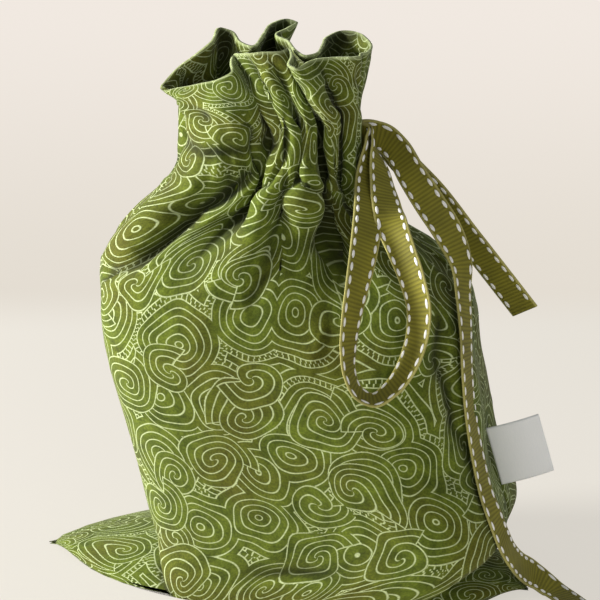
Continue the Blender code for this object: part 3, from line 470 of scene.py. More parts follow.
def bodySection(u, height, spread):
    # superellipse stretched between four corners, which draw in to the fold line under the base
    corners = [baseCorners]
    for _, cx, cy, a, b, turn, _ in bodySections:
        box = np.array([[-a, -b], [a, -b], [a, b], [-a, b]])
        corners.append(np.array([cx, cy]) + turnPlan(box, turn))
    heights = np.array([0.0] + [row[0] * cloth["bodyHeight"] for row in bodySections])
    c = curveThrough(height, heights, np.array(corners))[0]
    ends = earTips[[0, 1, 1, 0]]
    edge = c - ends
    aside = unit(np.stack([-edge[:, 1], edge[:, 0]], -1)) * np.array([[-1.0], [1.0], [-1.0], [1.0]])
    c = ends + edge * spread + aside * 4.0 * spread * (1.0 - spread) * cloth["earBow"]
    squareness = np.interp(height, heights, [baseSquareness] + [row[6] for row in bodySections])
    f = np.linspace(0.0, 2.0 * math.pi, turnSteps + 1)
    x = np.sign(np.cos(f)) * np.abs(np.cos(f)) ** (2.0 / squareness)
    y = np.sign(np.sin(f)) * np.abs(np.sin(f)) ** (2.0 / squareness)
    a, b = ((x + 1.0) / 2.0)[:, None], ((y + 1.0) / 2.0)[:, None]
    loop = c[0] * (1 - a) * (1 - b) + c[1] * a * (1 - b) + c[2] * a * b + c[3] * (1 - a) * b
    run = runOf(loop)
    # the cloth is shared out by length between the seams and the section's corners, which under
    # the cornerFade height are held at the columns of the base's folded ends
    marks = turnSteps // 8 * np.array([0, 1, 3, 4, 5, 7, 8])
    right, left = (n / cloth["columns"] for n in cloth["endColumns"])
    atBase = np.array([0.0, right, 0.5 - left, 0.5, 0.5 + left, 1.0 - right, 1.0])
    half = run[turnSteps // 2]
    byLength = np.where(marks <= turnSteps // 2, 0.5 * run[marks] / half,
                        0.5 + 0.5 * (run[marks] - half) / (run[-1] - half))
    anchors = atBase + (byLength - atBase) * ease(height / cloth["cornerFade"])
    share = np.interp(run, run[marks], anchors)
    points = np.stack([np.interp(u, share, loop[:, 0]), np.interp(u, share, loop[:, 1])], -1)
    fromRight = np.minimum(u, 1.0 - u) / anchors[1]
    fromLeft = np.abs(u - 0.5) / (0.5 - anchors[2])
    return points, np.minimum(np.minimum(fromRight, fromLeft), 1.0)


def neckOval(share):
    # ellipse walked at an even pace, turned with the neck: places on it and the ways out of it
    f = np.linspace(0.0, 2.0 * math.pi, turnSteps + 1)
    a, b = cloth["neckHalf"]
    run = runOf(np.stack([a * np.cos(f), b * np.sin(f)], -1))
    f = np.interp(np.mod(share, 1.0), run / run[-1], f)
    point = np.stack([a * np.cos(f), b * np.sin(f)], -1)
    normal = unit(np.stack([b * np.cos(f), a * np.sin(f)], -1))
    return (np.array(cloth["neckCentre"]) + turnPlan(point, cloth["neckTurn"]),
            turnPlan(normal, cloth["neckTurn"]))


def neck(u):
    # place on the oval under each bit of cloth, and how far its pleat stands out: a pinched half
    # sine over the pleat, of its own depth
    at = np.clip(np.searchsorted(pleatTable[:, 0], u, side="right") - 1, 0, len(pleatTable) - 1)
    row = pleatTable[at]
    t = (u - row[:, 0]) / row[:, 1]
    pinch = cloth["pleatPinch"] * np.sin(2 * math.pi * t) / (2 * math.pi)
    point, normal = neckOval(row[:, 2] + row[:, 3] * (t - pinch))
    return point, normal, row[:, 4] * np.sin(math.pi * t) ** cloth["pleatRound"]


def ruffleEdge(u):
    # smooth closed curve through the edge's points, each panel's half of the cloth shared out
    # by length; three points are repeated past each end so that it closes smoothly
    knownU, known = [], []
    for points, forward in ((ruffleBack, True), (ruffleFront, False)):
        line = np.array(points)
        run = runOf(line)
        share = 0.5 * run / run[-1]
        knownU.append(share if forward else (1.0 - share)[::-1][1:])
        known.append(line if forward else line[::-1][1:])
    knownU, known = np.concatenate(knownU), np.concatenate(known)
    knownU = np.concatenate([knownU[-4:-1] - 1.0, knownU, knownU[1:4] + 1.0])
    known = np.concatenate([known[-4:-1], known, known[1:4]])
    edge = curveThrough(u, knownU, known)
    return edge[:, :2], edge[:, 2]


def planNormals(loop):
    # ways out of a closed plan line, square to the step from the point before to the one after
    along = np.roll(loop, -1, 0) - np.roll(loop, 1, 0)
    return unit(np.stack([along[:, 1], -along[:, 0]], -1))


def foldHeight(u, v):
    # rounded ridges and hollows along the fold lines: the rise times a bell curve of the distance
    # from the line over its half width, times a half sine along the line, short of its ends
    total = np.zeros(len(u))
    place = np.stack([u * clothRound, np.full(len(u), v)], -1)
    for line, rise, halfWidth, leftShare, rightShare in bodyFolds:
        line = np.array(line, float)
        nearest, fade, side = np.full(len(u), np.inf), np.zeros(len(u)), np.ones(len(u))
        count = len(line) - 1
        for k in range(count):
            a, b = line[k], line[k + 1]
            t = np.clip(((place - a) @ (b - a)) / ((b - a) @ (b - a)), 0.0, 1.0)
            off = place - (a + t[:, None] * (b - a))
            away = np.linalg.norm(off, axis=1)
            closer = away < nearest
            turnOf = (b - a)[0] * off[:, 1] - (b - a)[1] * off[:, 0]
            nearest = np.where(closer, away, nearest)
            side = np.where(closer, turnOf, side)
            along = cloth["foldEnds"] + (1.0 - 2.0 * cloth["foldEnds"]) * (k + t) / count
            fade = np.where(closer, np.sin(math.pi * along), fade)
        width = halfWidth * np.where(side > 0, rightShare, leftShare)
        total += rise * fade * np.exp(-(nearest / width) ** 2)
    return total


def clothRow(v):
    # One row round the bag at cloth length v, before its small wrinkles. The body's section goes
    # over to the neck's oval with an eased share of the height, and the pleats grow out of it.
    # Over the casing the row goes over to the ruffle's edge in the same way.
    u = columnPlaces(v)
    height = heightOf(v)
    body, fromSeam = bodySection(u, min(height, cloth["bodyHeight"]), min(v / cloth["baseFold"], 1.0))
    oval, normal, pleat = neck(u)
    share = height / cloth["bodyHeight"]
    late = 0.5 - 0.5 * np.cos(2.0 * math.pi * u)  # the left shoulder draws in later
    gather = float(ease((share - cloth["gatherFrom"]) / (1.0 - cloth["gatherFrom"])))
    gather = (gather ** (cloth["gatherPower"] + cloth["leftLater"] * late))[:, None]
    pleating = float(ease((share - cloth["pleatsFrom"]) / cloth["pleatsOver"])) ** cloth["pleatsPower"]
    plan = body * (1.0 - gather) + (oval + normal * cloth["rootOut"]) * gather
    plan = plan + normal * (pleat * pleating)[:, None]
    profile = np.maximum(1.0 - fromSeam**2, 0.0) ** cloth["earRound"]
    fade = 1.0 - ease((v - cloth["baseFold"]) / cloth["earFade"])
    rise = cloth["earHeight"] * min(1.0, v / cloth["baseFold"]) ** cloth["earPower"] * profile * fade
    level = np.full(len(u), height) + rise
    if v > casingTop:
        edge, edgeHeight = ruffleEdge(u)
        up = min((v - casingTop) / cloth["ruffleCloth"], 1.0)
        flare = up ** cloth["flarePower"]
        plan = (oval + normal * (cloth["rootOut"] + pleat)[:, None]) * (1.0 - flare) + edge * flare
        level = cloth["bodyHeight"] + cloth["casingHeight"] + edgeHeight * up
    if v > cloth["baseFold"]:
        plan = plan + planNormals(plan) * foldHeight(u, v)[:, None]
    return u, np.concatenate([plan, level[:, None]], 1)


# height of each kind of small wrinkle in mm
wrinkles = {"drift": 16, "gather": 1.1, "broad": 0.7, "crumple": 0.35, "neckCrumple": 0.9,
            "pucker": 1.2, "ripple": 0.5, "seam": 0.9, "seamHalfWidth": 1.3}
# its noise: size across and up the cloth in mm, and seed
wrinkleNoise = {"drift": (60, 60, 3), "gather": (7, 55, 11), "broad": (38, 30, 21),
                "crumple": (26, 17, 31), "cross": (15, 24, 41), "pucker": (2.6, 14, 61),
                "ripple": (9, 26, 51)}


def wrinkleHeight(u, v):
    # Small wrinkles as a sum of eased noises: long ones that run down from the gathers, broad
    # dents, sharp-crested crumples, and ripples on the ruffle. All fade out at the drawstring
    # and under the base. The seams are narrow grooves.
    def noise(kind, across, up, shift=(0, 0)):
        wide, high, seed = wrinkleNoise[kind]
        return softNoise(across / wide + shift[0], up / high + shift[1], seed)

    x = u * clothRound
    onBody = ease((v - cloth["baseFold"] - 1) / 10) * (1 - ease((v - clothTop + 9) / 8))
    nearNeck = ease((v - 118) / 60)
    onRuffle = ease((v - casingTop - 1) / 8)
    drift = wrinkles["drift"] * noise("drift", x, v)
    gather = noise("gather", x + 0.25 * v + drift, v) * wrinkles["gather"] * nearNeck
    broad = noise("broad", x, v, (5, 0)) * wrinkles["broad"]
    crest = 1 - 2 * np.abs(noise("crumple", x + 0.5 * v, v - 0.35 * x, (9, 0)))
    cross = 1 - 2 * np.abs(noise("cross", x - 0.4 * v, v + 0.3 * x, (0, 4)))
    size = wrinkles["crumple"] + (wrinkles["neckCrumple"] - wrinkles["crumple"]) * ease((v - 140) / 40)
    crumple = (np.maximum(crest, 0) ** 2 + 0.6 * np.maximum(cross, 0) ** 2) * size
    belt = np.exp(-((v - clothTop + 2) / 9) ** 2) + 0.7 * np.exp(-((v - casingTop - 4) / 6) ** 2)
    pucker = noise("pucker", x, v) * wrinkles["pucker"] * belt
    lip = 1 - ease((v - clothEnd + 7) / 6)
    ripple = noise("ripple", x, v) * wrinkles["ripple"] * onRuffle * lip
    fromSeam = np.minimum(np.minimum(x, clothRound - x), np.abs(x - cloth["flatWidth"]))
    groove = wrinkles["seam"] * np.exp(-(fromSeam / wrinkles["seamHalfWidth"]) ** 2)
    return ((gather + broad + crumple) * onBody + crumple * onRuffle * lip + pucker + ripple
            - groove * (onBody + onRuffle))


def gridNormals(grid):
    # unit normals of a sheet that is closed round its columns
    du = np.roll(grid, -1, 1) - np.roll(grid, 1, 1)
    dv = np.gradient(grid, axis=0)
    return unit(np.cross(du, dv))


# columns apart and the depth in mm that counts as a full hollow, and the same for rows
hollowColumns = ((3, 0.7), (7, 2.4), (12, 5.0))
hollowRows = (4, 1.6)


def hollows(grid):
    # How deep each point lies under the middle of its neighbours a few columns or rows away,
    # from 0 on open cloth to 1 in a tight fold, evened out once
    normal = gridNormals(grid)
    rows = np.arange(len(grid))
    apart, full = hollowRows
    above, below = np.minimum(rows + apart, rows[-1]), np.maximum(rows - apart, 0)
    deep = np.sum((0.5 * (grid[above] + grid[below]) - grid) * normal, -1) / full
    for apart, full in hollowColumns:
        middle = 0.5 * (np.roll(grid, apart, 1) + np.roll(grid, -apart, 1))
        deep = np.maximum(deep, np.sum((middle - grid) * normal, -1) / full)
    deep = np.clip(deep, 0.0, 1.0)
    return (deep * 2 + np.roll(deep, 1, 1) + np.roll(deep, -1, 1)) / 4


def slitDip(u, v):
    # the slit in the right side seam: cloth there goes in, square-sided, to the drawstring
    across = np.minimum(u, 1.0 - u) * clothRound
    up = np.abs(v - clothTop - cloth["casingHeight"] / 2)
    return ((across < cloth["slitHalfWidth"]) & (up < cloth["slitHalfHeight"])) * cloth["slitDepth"]


# rows of the cloth: shares of the base fold, then counts; the lining has every few of them
clothRows = {"under": (0.0, 0.1, 0.25, 0.4, 0.55, 0.68, 0.79, 0.88, 0.94, 0.98), "body": 115,
             "casing": 14, "ruffle": 25, "liningBody": 4, "liningUnder": 2}


def makeClothGrid():
    # Outer rows from the base up, moved along their normals by the wrinkles, then the lining's rows
    # down again, one wall inside them. In the casing the lining is a smooth oval.
    under = len(clothRows["under"])
    bodyEnd = under + clothRows["body"]
    last = bodyEnd + clothRows["casing"] + clothRows["ruffle"]
    outerV = np.concatenate([
        cloth["baseFold"] * np.array(clothRows["under"]),
        np.linspace(cloth["baseFold"], clothTop, clothRows["body"] + 1)[:-1],
        np.linspace(clothTop, casingTop, clothRows["casing"] + 1)[:-1],
        np.linspace(casingTop, clothEnd, clothRows["ruffle"] + 1)])
    rows = [clothRow(v) for v in outerV]
    u = np.stack([r[0] for r in rows])
    sheet = np.stack([r[1] for r in rows])
    v = np.broadcast_to(outerV[:, None], u.shape)
    sheet = sheet + gridNormals(sheet) * (wrinkleHeight(u, v) - slitDip(u, v))[..., None]
    sheet[0, :, 2] = 0.0
    sheet[..., 2] = np.maximum(sheet[..., 2], 0.0)
    split = clothRows["ruffle"]
    keep = np.concatenate([np.arange(last, last - split, -1),
                           np.arange(bodyEnd - 1, under, -clothRows["liningBody"]),
                           np.arange(under, -1, -clothRows["liningUnder"])])
    lining = sheet[keep] - gridNormals(sheet)[keep] * cloth["wall"]
    lining[keep <= under, :, 2] = np.maximum(lining[keep <= under, :, 2], cloth["wall"])
    ovalPoint, ovalNormal, _ = neck(u[-1])
    inside = ovalPoint - ovalNormal * cloth["rootOut"]
    casing = [np.concatenate([inside, np.full((len(inside), 1), z)], 1)
              for z in (cloth["bodyHeight"] + cloth["casingHeight"], cloth["bodyHeight"])]
    grid = np.concatenate([sheet, lining[:split], np.stack(casing), lining[split:]])
    casingV = np.stack([np.full(len(inside), casingTop), np.full(len(inside), clothTop)])
    gridU = np.concatenate([u, u[keep][:split], np.stack([u[-1]] * 2), u[keep][split:]])
    gridV = np.concatenate([v, v[keep][:split], casingV, v[keep][split:]])
    return grid, gridU, gridV


def makePouchCloth(material):
    # Mesh of the cloth's rows. The first and last rows are folded flat on themselves, so the
    # front's points there are the back's. Its uv is flat cloth in metres.
    grid, gridU, gridV = makeClothGrid()
    rows, cols = grid.shape[:2]
    index = np.arange(rows * cols).reshape(rows, cols)
    half = cols // 2
    for r in (0, rows - 1):
        index[r, half + 1:] = index[r, 1:half][::-1]
    used, index = np.unique(index, return_inverse=True)
    index = index.reshape(rows, cols)
    nextCol = np.roll(index, -1, 1)
    quads = np.stack([index[:-1], nextCol[:-1], nextCol[1:], index[1:]], -1).reshape(-1, 4)
    front = np.arange(cols) >= half
    uNext = np.roll(gridU, -1, 1)
    uNext[:, -1] = 1.0
    # across from the left seam, up the front panel and down the back one
    x, xNext = (np.where(front, u - 0.5, 0.5 - u) * clothRound for u in (gridU, uNext))
    y = np.where(front, 1.0, -1.0) * gridV
    uv = np.stack([np.stack([x[:-1], xNext[:-1], xNext[1:], x[1:]], -1),
                   np.stack([y[:-1], y[:-1], y[1:], y[1:]], -1)], -1).reshape(-1, 2) * mm
    points = ((grid + planShift) * mm).reshape(-1, 3)[used]
    made = meshPiece("pouchCloth", points, quads, material, uv, ())
    # the hollow depth darkens the cloth's colour in its material as painted shade
    hollow = made.data.attributes.new("hollow", "FLOAT", "POINT")
    hollow.data.foreach_set("value", hollows(grid).ravel()[used])
    return made


# the print in mm; a layer of scrolls is its spacing, arms, smallest and largest radius and shift
scroll = {"linePitch": 2.45, "lineHalf": 0.175, "blur": 0.11, "rungPitch": 1.7, "rungEvery": 5.0,
          "rungFrom": 5.5, "rungStep": 6.0, "scatter": 0.72, "wander": 9.0, "ink": "#c8d59f",
          # the share of the colour kept in the deepest folds is painted shade
          "darkDye": "#44520f", "lightDye": "#687720", "brownDye": "#5c5517", "paintedShadeInFolds": 0.24,
          "threadPitch": 0.6,
          "layers": ((23.0, 0.0, 40.0, 41.0, 5.0), (31.0, 2.0, 8.0, 12.0, 61.0),
                     (34.0, 3.0, 6.5, 10.5, 137.0))}
# soft noise over the flat cloth: spots for each mm, detail and roughness
clothNoise = {"wander": (0.045, 1.0, 0.5), "mottle": (0.16, 4.0, 0.65), "cast": (0.035, 2.0, 0.5),
              "fuzz": (1.4, 2.0, 0.5), "crease": (0.12, 5.0, 0.6)}


def scrollLayer(tree, place, cell, arms, radiusLow, radiusHigh, shift):
    # Scrolls on scattered centres. Along a scroll's lines the radius over the pitch plus the arms
    # times the turn is a whole number and a half; its outline is one of those lines, and it ends in
    # a straight cut where the turn starts again. Some gaps between lines have rungs across them.
    # Gives the line mask and the inside of the scroll. No arms make closed rings.
    pitch = scroll["linePitch"]
    low, high = scroll["lineHalf"] - scroll["blur"], scroll["lineHalf"] + scroll["blur"]

    def lineMask(distance, wide=1.0):
        return addNode(tree, "MapRange", {"Value": distance, 1: high * wide, 2: low * wide},
                       interpolation_type="SMOOTHSTEP")

    def fromLine(value, apart):
        # distance from the nearest line where there is one at each whole number and a half
        for operation, other in (("FRACT", None), ("SUBTRACT", 0.5), ("ABSOLUTE", None),
                                 ("MULTIPLY", apart)):
            value = addNode(tree, "Math", [value, other], operation=operation)
        return value

    moved = addNode(tree, "VectorMath", [place, (shift, 0.7 * shift, 0.0)], operation="ADD")
    scaled = addNode(tree, "VectorMath", {"Vector": moved, "Scale": 1.0 / cell}, operation="SCALE")
    cells = addNode(tree, "TexVoronoi", {"Vector": scaled, "Scale": 1.0,
                                         "Randomness": scroll["scatter"]}, voronoi_dimensions="2D")
    away = addNode(tree, "VectorMath", [scaled, cells.outputs["Position"]], operation="SUBTRACT")
    parts = addNode(tree, "SeparateXYZ", [away])
    length = addNode(tree, "VectorMath", [away], operation="LENGTH")
    radius = addNode(tree, "Math", [length.outputs["Value"], cell], operation="MULTIPLY")
    angle = addNode(tree, "Math", [parts.outputs[1], parts.outputs[0]], operation="ARCTAN2")
    around = addNode(tree, "Math", [angle, 2 * math.pi], operation="DIVIDE")
    # the cell's random colour draws the scroll's first angle, its hand and its size
    draw = addNode(tree, "SeparateColor", [cells.outputs["Color"]])
    hand = addNode(tree, "Math", [draw.outputs[1], 0.5], operation="SUBTRACT")
    hand = addNode(tree, "Math", [hand], operation="SIGN")
    around = addNode(tree, "Math", [around, hand, draw.outputs[0]], operation="MULTIPLY_ADD")
    turn = addNode(tree, "Math", [around], operation="FRACT")
    ring = addNode(tree, "Math", [radius, 1.0 / pitch], operation="MULTIPLY")
    count = addNode(tree, "Math", [turn, arms, ring], operation="MULTIPLY_ADD")
    line = lineMask(fromLine(count, pitch))
    # rungs between two turns, in every so many gaps and only away from the middle
    chosen = count
    for operation, other in (("SUBTRACT", 0.5), ("FLOOR", None),
                             ("FLOORED_MODULO", scroll["rungEvery"]), ("LESS_THAN", 0.5)):
        chosen = addNode(tree, "Math", [chosen, other], operation=operation)
    outer = addNode(tree, "Math", [radius, scroll["rungFrom"]], operation="GREATER_THAN")
    chosen = addNode(tree, "Math", [chosen, outer], operation="MULTIPLY")
    rungs = radius
    for operation, other in (("MULTIPLY", 2 * math.pi / scroll["rungPitch"]),
                             ("SNAP", scroll["rungStep"]), ("MAXIMUM", scroll["rungStep"])):
        rungs = addNode(tree, "Math", [rungs, other], operation=operation)
    spot = addNode(tree, "Math", [turn, rungs], operation="MULTIPLY")
    rung = lineMask(fromLine(spot, scroll["rungPitch"]))
    rung = addNode(tree, "Math", [rung, chosen], operation="MULTIPLY")
    line = addNode(tree, "Math", [line, rung], operation="MAXIMUM")
    # outline and the cut end
    size = addNode(tree, "MapRange", {"Value": draw.outputs[2], 3: radiusLow / pitch + 0.5 * arms,
                                      4: radiusHigh / pitch + 0.5 * arms})
    size = addNode(tree, "Math", [size], operation="FLOOR")
    outline = addNode(tree, "Math", [size, 0.5 + high / pitch], operation="ADD")
    inside = addNode(tree, "Math", [count, outline], operation="LESS_THAN")
    if arms:
        fromCut = addNode(tree, "Math", [turn, radius], operation="MULTIPLY")
        fromCut = addNode(tree, "Math", [fromCut, 2 * math.pi], operation="MULTIPLY")
        mouth = addNode(tree, "Math", [size, arms - 0.5], operation="SUBTRACT")
        beyond = addNode(tree, "Math", [count, mouth], operation="GREATER_THAN")
        cut = addNode(tree, "Math", [lineMask(fromCut, 2.0), beyond], operation="MULTIPLY")
        line = addNode(tree, "Math", [line, cut], operation="MAXIMUM")
    return line, inside


def printedCottonMaterial():
    # Printed plain-weave cotton: matt, mottled olive dye, fine pale printed lines, a little fuzz, and
    # painted shade in its folds
    made, tree, shader = newMaterial("printedPlainWeaveCotton")
    uv = addNode(tree, "UVMap", uv_map="UVMap")
    place = addNode(tree, "VectorMath", {"Vector": uv, "Scale": 1.0 / mm}, operation="SCALE")  # mm
    noise = {}
    for kind, (scale, detail, roughness) in clothNoise.items():
        noise[kind] = addNode(tree, "TexNoise", {"Vector": place, "Scale": scale, "Detail": detail,
                                                 "Roughness": roughness}, noise_dimensions="2D")
    # the print's lines wander by a few mm
    wander = addNode(tree, "VectorMath", [noise["wander"].outputs["Color"], (0.5, 0.5, 0.5)],
                     operation="SUBTRACT")
    wander = addNode(tree, "VectorMath", {"Vector": wander, "Scale": scroll["wander"]},
                     operation="SCALE")
    bent = addNode(tree, "VectorMath", [place, wander], operation="ADD")
    lines = None
    for layer in scroll["layers"]:
        top, cover = scrollLayer(tree, bent, *layer)
        lines = top if lines is None else addNode(tree, "Mix", {0: cover, 2: lines, 3: top})
    # dye, mottled in patches of a few mm and browner in broad ones
    mottle = addNode(tree, "MapRange", {"Value": noise["mottle"], 1: 0.32, 2: 0.68})
    dye = addNode(tree, "Mix", {0: mottle, 6: linear(scroll["darkDye"]), 7: linear(scroll["lightDye"])},
                  data_type="RGBA")
    cast = addNode(tree, "MapRange", {"Value": noise["cast"], 1: 0.45, 2: 0.72, 4: 0.55})
    dye = addNode(tree, "Mix", {0: cast, 6: dye.outputs[2], 7: linear(scroll["brownDye"])},
                  data_type="RGBA")
    shade = addNode(tree, "MapRange", {"Value": noise["fuzz"], 1: 0.25, 2: 0.75, 3: 0.72, 4: 1.28})
    grain = addNode(tree, "HueSaturation", {"Value": shade, "Color": dye.outputs[2]})
    ink = addNode(tree, "MapRange", {"Value": noise["fuzz"], 1: 0.3, 2: 0.6, 3: 0.7, 4: 1.0})
    amount = addNode(tree, "Math", [lines, ink], operation="MULTIPLY")
    colour = addNode(tree, "Mix", {0: amount, 6: grain, 7: linear(scroll["ink"])}, data_type="RGBA")
    # the folded edge of the ruffle is rubbed paler
    spot = addNode(tree, "SeparateXYZ", [place])
    fromFold = addNode(tree, "Math", [spot.outputs[1]], operation="ABSOLUTE")
    rubbed = addNode(tree, "MapRange", {"Value": fromFold, 1: clothEnd - 1.5, 2: clothEnd - 0.2,
                                        4: 0.5})
    worn = addNode(tree, "Mix", {0: rubbed, 6: colour.outputs[2], 7: linear(scroll["ink"])},
                   data_type="RGBA")
    # and painted shade: the colour is darker where the cloth lies deep in a hollow or fold
    hollow = addNode(tree, "Attribute", attribute_name="hollow")
    keep = addNode(tree, "MapRange", {"Value": hollow.outputs["Fac"], 3: 1.0, 4: scroll["paintedShadeInFolds"]})
    folded = addNode(tree, "HueSaturation", {"Value": keep, "Color": worn.outputs[2]})
    tree.links.new(folded.outputs[0], shader.inputs["Base Color"])
    # plain weave, drawn at 0.6 mm a thread because 0.3 mm would not show: the product of a sine
    # across and a sine up the cloth
    waves = []
    for axis in (0, 1):
        wave = addNode(tree, "Math", [spot.outputs[axis], 2 * math.pi / scroll["threadPitch"]],
                       operation="MULTIPLY")
        waves.append(addNode(tree, "Math", [wave], operation="SINE"))
    weave = addNode(tree, "Math", waves, operation="MULTIPLY")
    weave = addNode(tree, "Math", [weave, 0.5, noise["fuzz"]], operation="MULTIPLY_ADD")
    bump = addNode(tree, "Bump", {"Height": weave, "Strength": 0.35, "Distance": 0.12 * mm})
    bump = addNode(tree, "Bump", {"Height": noise["crease"], "Strength": 0.5, "Distance": 1.2 * mm,
                                  "Normal": bump})
    tree.links.new(bump.outputs[0], shader.inputs["Normal"])
    shader.inputs["Roughness"].default_value = 0.88
    shader.inputs["Specular IOR Level"].default_value = 0.22
    shader.inputs["Sheen Weight"].default_value = 0.08
    shader.inputs["Sheen Roughness"].default_value = 0.5
    return made


cotton = printedCottonMaterial()
pouchCloth = makePouchCloth(cotton)
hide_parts("pouch_cloth")
print("cloth made,", len(pouchCloth.data.polygons), "faces")


def makeCasingRibbon():
    # the ribbon on the neck's oval inside the casing, its two ends side by side in the slit
    ends, apart, outBy = 0.016, 1.15, 1.2  # share of the oval left open, mm aside and past it
    plan, _ = neckOval(np.linspace(ends, 1.0 - ends, 140))
    along, across = turnPlan(np.eye(2), cloth["neckTurn"])
    exitMiddle = np.array(cloth["neckCentre"]) + along * (cloth["neckHalf"][0] + outBy)
    first, last = exitMiddle + across * apart, exitMiddle - across * apart
    plan = np.concatenate([[first], plan, [last]])
    level = np.full((len(plan), 1), cloth["bodyHeight"] + cloth["casingHeight"] / 2)
    middle = (np.concatenate([plan, level], 1) + planShift) * mm
    across3 = np.tile([0.0, 0.0, 1.0], (len(middle), 1))
    run = runOf(middle)
    frames = (middle, across3, np.cross(unit(np.gradient(middle, axis=0)), across3), run)
    made = ribbedStrip("ribbonInCasing", frames, ribbon["width"] * mm, ribbon["thickness"] * mm,
                       grosgrain, 0.0)
    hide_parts("drawstring_in_casing")
    return made


casingRibbon = makeCasingRibbon()

label = {"height": 20.0, "proud": 18.0, "clothHeight": 87.5, "layer": 0.32, "gap": 0.16, "seat": 0.3,
         "bendSpare": 0.2, "lean": 0.10, "bow": 1.12, "straightSteps": 30, "bendSteps": 9,
         "satin": ("#f4f6f8", "#ffffff"), "streak": (0.35, 4.0, 1.0)}


def satinMaterial():
    # Woven polyester satin: bright, smooth, with a soft streak of painted sheen along its threads
    made, tree, shader = newMaterial("wovenPolyesterSatin")
    uv = addNode(tree, "UVMap", uv_map="UVMap")
    place = addNode(tree, "VectorMath", {"Vector": uv, "Scale": 1.0 / mm}, operation="SCALE")
    threads = addNode(tree, "VectorMath", [place, label["streak"]], operation="MULTIPLY")
    noise = addNode(tree, "TexNoise", {"Vector": threads, "Scale": 1.0, "Detail": 3.0},
                    noise_dimensions="2D")
    # painted sheen: the colour is lighter along streaks of the threads, where the bump rises
    dull, bright = map(linear, label["satin"])
    mix = addNode(tree, "Mix", {0: noise, 6: dull, 7: bright}, data_type="RGBA")
    tree.links.new(mix.outputs[2], shader.inputs["Base Color"])
    bump = addNode(tree, "Bump", {"Height": noise, "Strength": 0.3, "Distance": 0.1 * mm})
    tree.links.new(bump.outputs[0], shader.inputs["Normal"])
    shader.inputs["Roughness"].default_value = 0.42
    shader.inputs["Sheen Weight"].default_value = 0.2
    shader.inputs["Anisotropic"].default_value = 0.5
    return made


def makeLabel():
    # Strip folded back on itself: out from the seam, round a tight bend, and back to the seam.
    # The bow is a half sine along it.
    low = clothRow(label["clothHeight"] - label["height"] / 2)[1][0]
    high = clothRow(label["clothHeight"] + label["height"] / 2)[1][0]
    upward = unit(high - low)
    away = turnPlan(np.array([[1.0, 0.0]]), cloth["neckTurn"])[0]
    out = np.array([away[0], away[1], label["lean"]])
    out = unit(out - upward * (out @ upward))
    face = np.cross(out, upward)
    r = (label["layer"] + label["gap"]) / 2
    reach = label["proud"] - r - label["bendSpare"]
    straight = np.linspace(0.0, reach, label["straightSteps"])
    bend = np.linspace(0.0, math.pi, label["bendSteps"])[1:-1]
    a = np.concatenate([straight, reach + r * np.sin(bend), straight[::-1]])
    b = np.concatenate([np.full(len(straight), r), r * np.cos(bend), np.full(len(straight), -r)])
    bow = label["bow"] * np.sin(math.pi * np.clip(a / label["proud"], 0, 1))
    middle = (low + high) / 2 + out * (label["seat"] + a)[:, None] + face * (b + bow)[:, None]
    middle = (middle + planShift) * mm
    across = np.tile(upward, (len(middle), 1))
    along = unit(np.gradient(middle, axis=0))
    run = runOf(middle)
    frames = (middle, across, np.cross(along, across), run)
    made = ribbedStrip("sideLabel", frames, label["height"] * mm, label["layer"] * mm, satinMaterial(),
                       0.0)
    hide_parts("side_label")
    return made


makeLabel()
print("label made")

studio = {"table": "#eae5dc", "wall": "#e4ddd2", "wallTop": "#f1e9e1", "ownColour": 0.74,
          "farEdge": 314.0, "softEdge": 70.0, "sides": 900.0, "nearEdge": 900.0, "cells": 8,
          "sideFade": (315.0, 765.0),
          "wallBlend": (-0.31, -0.19), "sky": "#f6f6f4", "skyStrength": 0.34}
# place and size in metres, watts, colour
lights = {"keyLight": ((-1.24, -0.50, 0.60), 0.40, 37.0, "#fffdf8"),
          "fillLight": ((0.85, -1.00, 0.50), 0.60, 2.6, "#ffffff")}
aimHeight = 0.09


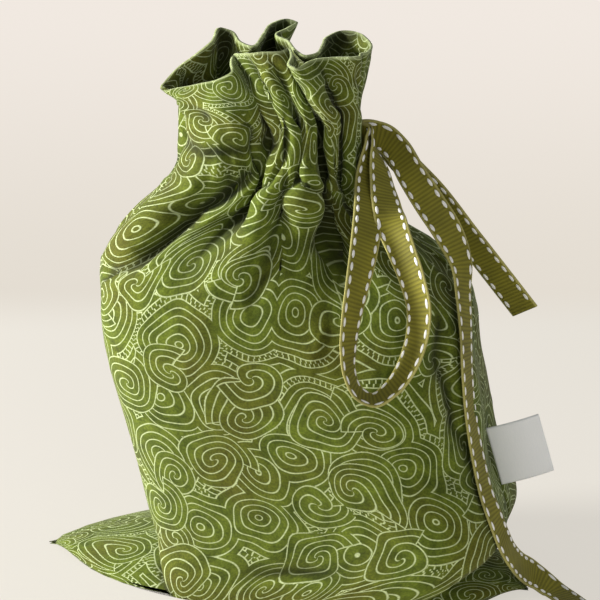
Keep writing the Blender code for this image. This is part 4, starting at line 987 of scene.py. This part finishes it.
def makeTable():
    # Flat plate on the camera's own heading. Its colour fades to the wall's towards the far edge
    # and far out to the sides, as out of focus.
    made, tree, shader = newMaterial("mattPaintedTable")
    shader.inputs["Roughness"].default_value = 0.9
    az = math.radians(camera["azimuth"])
    ahead = np.array([-math.sin(az), math.cos(az), 0.0])
    aside = np.array([math.cos(az), math.sin(az), 0.0])
    place = addNode(tree, "TexCoord")
    depth = addNode(tree, "VectorMath", [place.outputs["Object"], tuple(ahead)],
                    operation="DOT_PRODUCT")
    reach = addNode(tree, "VectorMath", [place.outputs["Object"]], operation="LENGTH")
    fades = []
    for distance, start, end in ((depth, studio["farEdge"] - studio["softEdge"], studio["farEdge"]),
                                 (reach, *studio["sideFade"])):
        fades.append(addNode(tree, "MapRange", {"Value": distance.outputs["Value"], 1: start * mm,
                                                2: end * mm}, interpolation_type="SMOOTHSTEP"))
    far = addNode(tree, "Math", fades, operation="MAXIMUM")
    paint = addNode(tree, "Mix", {0: far, 6: linear(studio["table"]), 7: linear(studio["wall"])},
                    data_type="RGBA")
    tree.links.new(paint.outputs[2], shader.inputs["Base Color"])
    # seen straight on, most of the colour is the table's own, so that it stays pale; the rest
    # keeps the shadow
    glow = addNode(tree, "Emission", {"Color": paint.outputs[2], "Strength": 1.0})
    own = addNode(tree, "MapRange", {"Value": far, 3: studio["ownColour"], 4: 1.0})
    seen = addNode(tree, "LightPath")
    share = addNode(tree, "Math", [seen.outputs["Is Camera Ray"], own], operation="MULTIPLY")
    both = addNode(tree, "MixShader", [share, shader, glow])
    tree.links.new(both.outputs[0], tree.nodes["Material Output"].inputs["Surface"])
    n = studio["cells"] + 1
    d = np.linspace(-studio["nearEdge"], studio["farEdge"], n)
    s = np.linspace(-studio["sides"], studio["sides"], n)
    grid = (d[:, None, None] * ahead + s[None, :, None] * aside) * mm
    r, c = np.meshgrid(np.arange(n - 1), np.arange(n - 1), indexing="ij")
    quads = np.stack([r * n + c, r * n + c + 1, (r + 1) * n + c + 1, (r + 1) * n + c], -1)
    mesh = bpy.data.meshes.new("table")
    mesh.from_pydata(grid.reshape(-1, 3).tolist(), [], quads.reshape(-1, 4).tolist())
    mesh.materials.append(made)
    table = bpy.data.objects.new("table", mesh)
    bpy.context.scene.collection.objects.link(table)


def makeWorld():
    # soft light from all round; seen straight on it is the pale wall
    world = bpy.data.worlds.new("studioWorld")
    bpy.context.scene.world = world
    world.use_nodes = True
    tree = world.node_tree
    light = tree.nodes["Background"]
    light.inputs[0].default_value = linear(studio["sky"])
    light.inputs[1].default_value = studio["skyStrength"]
    place = addNode(tree, "TexCoord")
    spot = addNode(tree, "SeparateXYZ", [place.outputs["Generated"]])
    low, high = studio["wallBlend"]
    up = addNode(tree, "MapRange", {"Value": spot.outputs[2], 1: low, 2: high},
                 interpolation_type="SMOOTHSTEP")
    paint = addNode(tree, "Mix", {0: up, 6: linear(studio["wall"]), 7: linear(studio["wallTop"])},
                    data_type="RGBA")
    wall = addNode(tree, "Background", {0: paint.outputs[2], 1: 1.0})
    seen = addNode(tree, "LightPath")
    both = addNode(tree, "MixShader", [seen.outputs["Is Camera Ray"], light, wall])
    tree.links.new(both.outputs[0], tree.nodes["World Output"].inputs[0])


def areaLight(name, place, size, watts, colour):
    # soft round lamp that faces the middle of the pouch
    data = bpy.data.lights.new(name, "AREA")
    data.shape, data.size, data.energy = "DISK", size, watts
    data.color = linear(colour)[:3]
    made = bpy.data.objects.new(name, data)
    made.location = Vector(place)
    towards = Vector((0.0, 0.0, aimHeight)) - Vector(place)
    made.rotation_euler = towards.to_track_quat("-Z", "Y").to_euler()
    bpy.context.scene.collection.objects.link(made)


makeTable()
makeWorld()
for name, settings in lights.items():
    areaLight(name, *settings)
print("table, wall and lights made")
bpy.context.scene.view_settings.view_transform = "Standard"
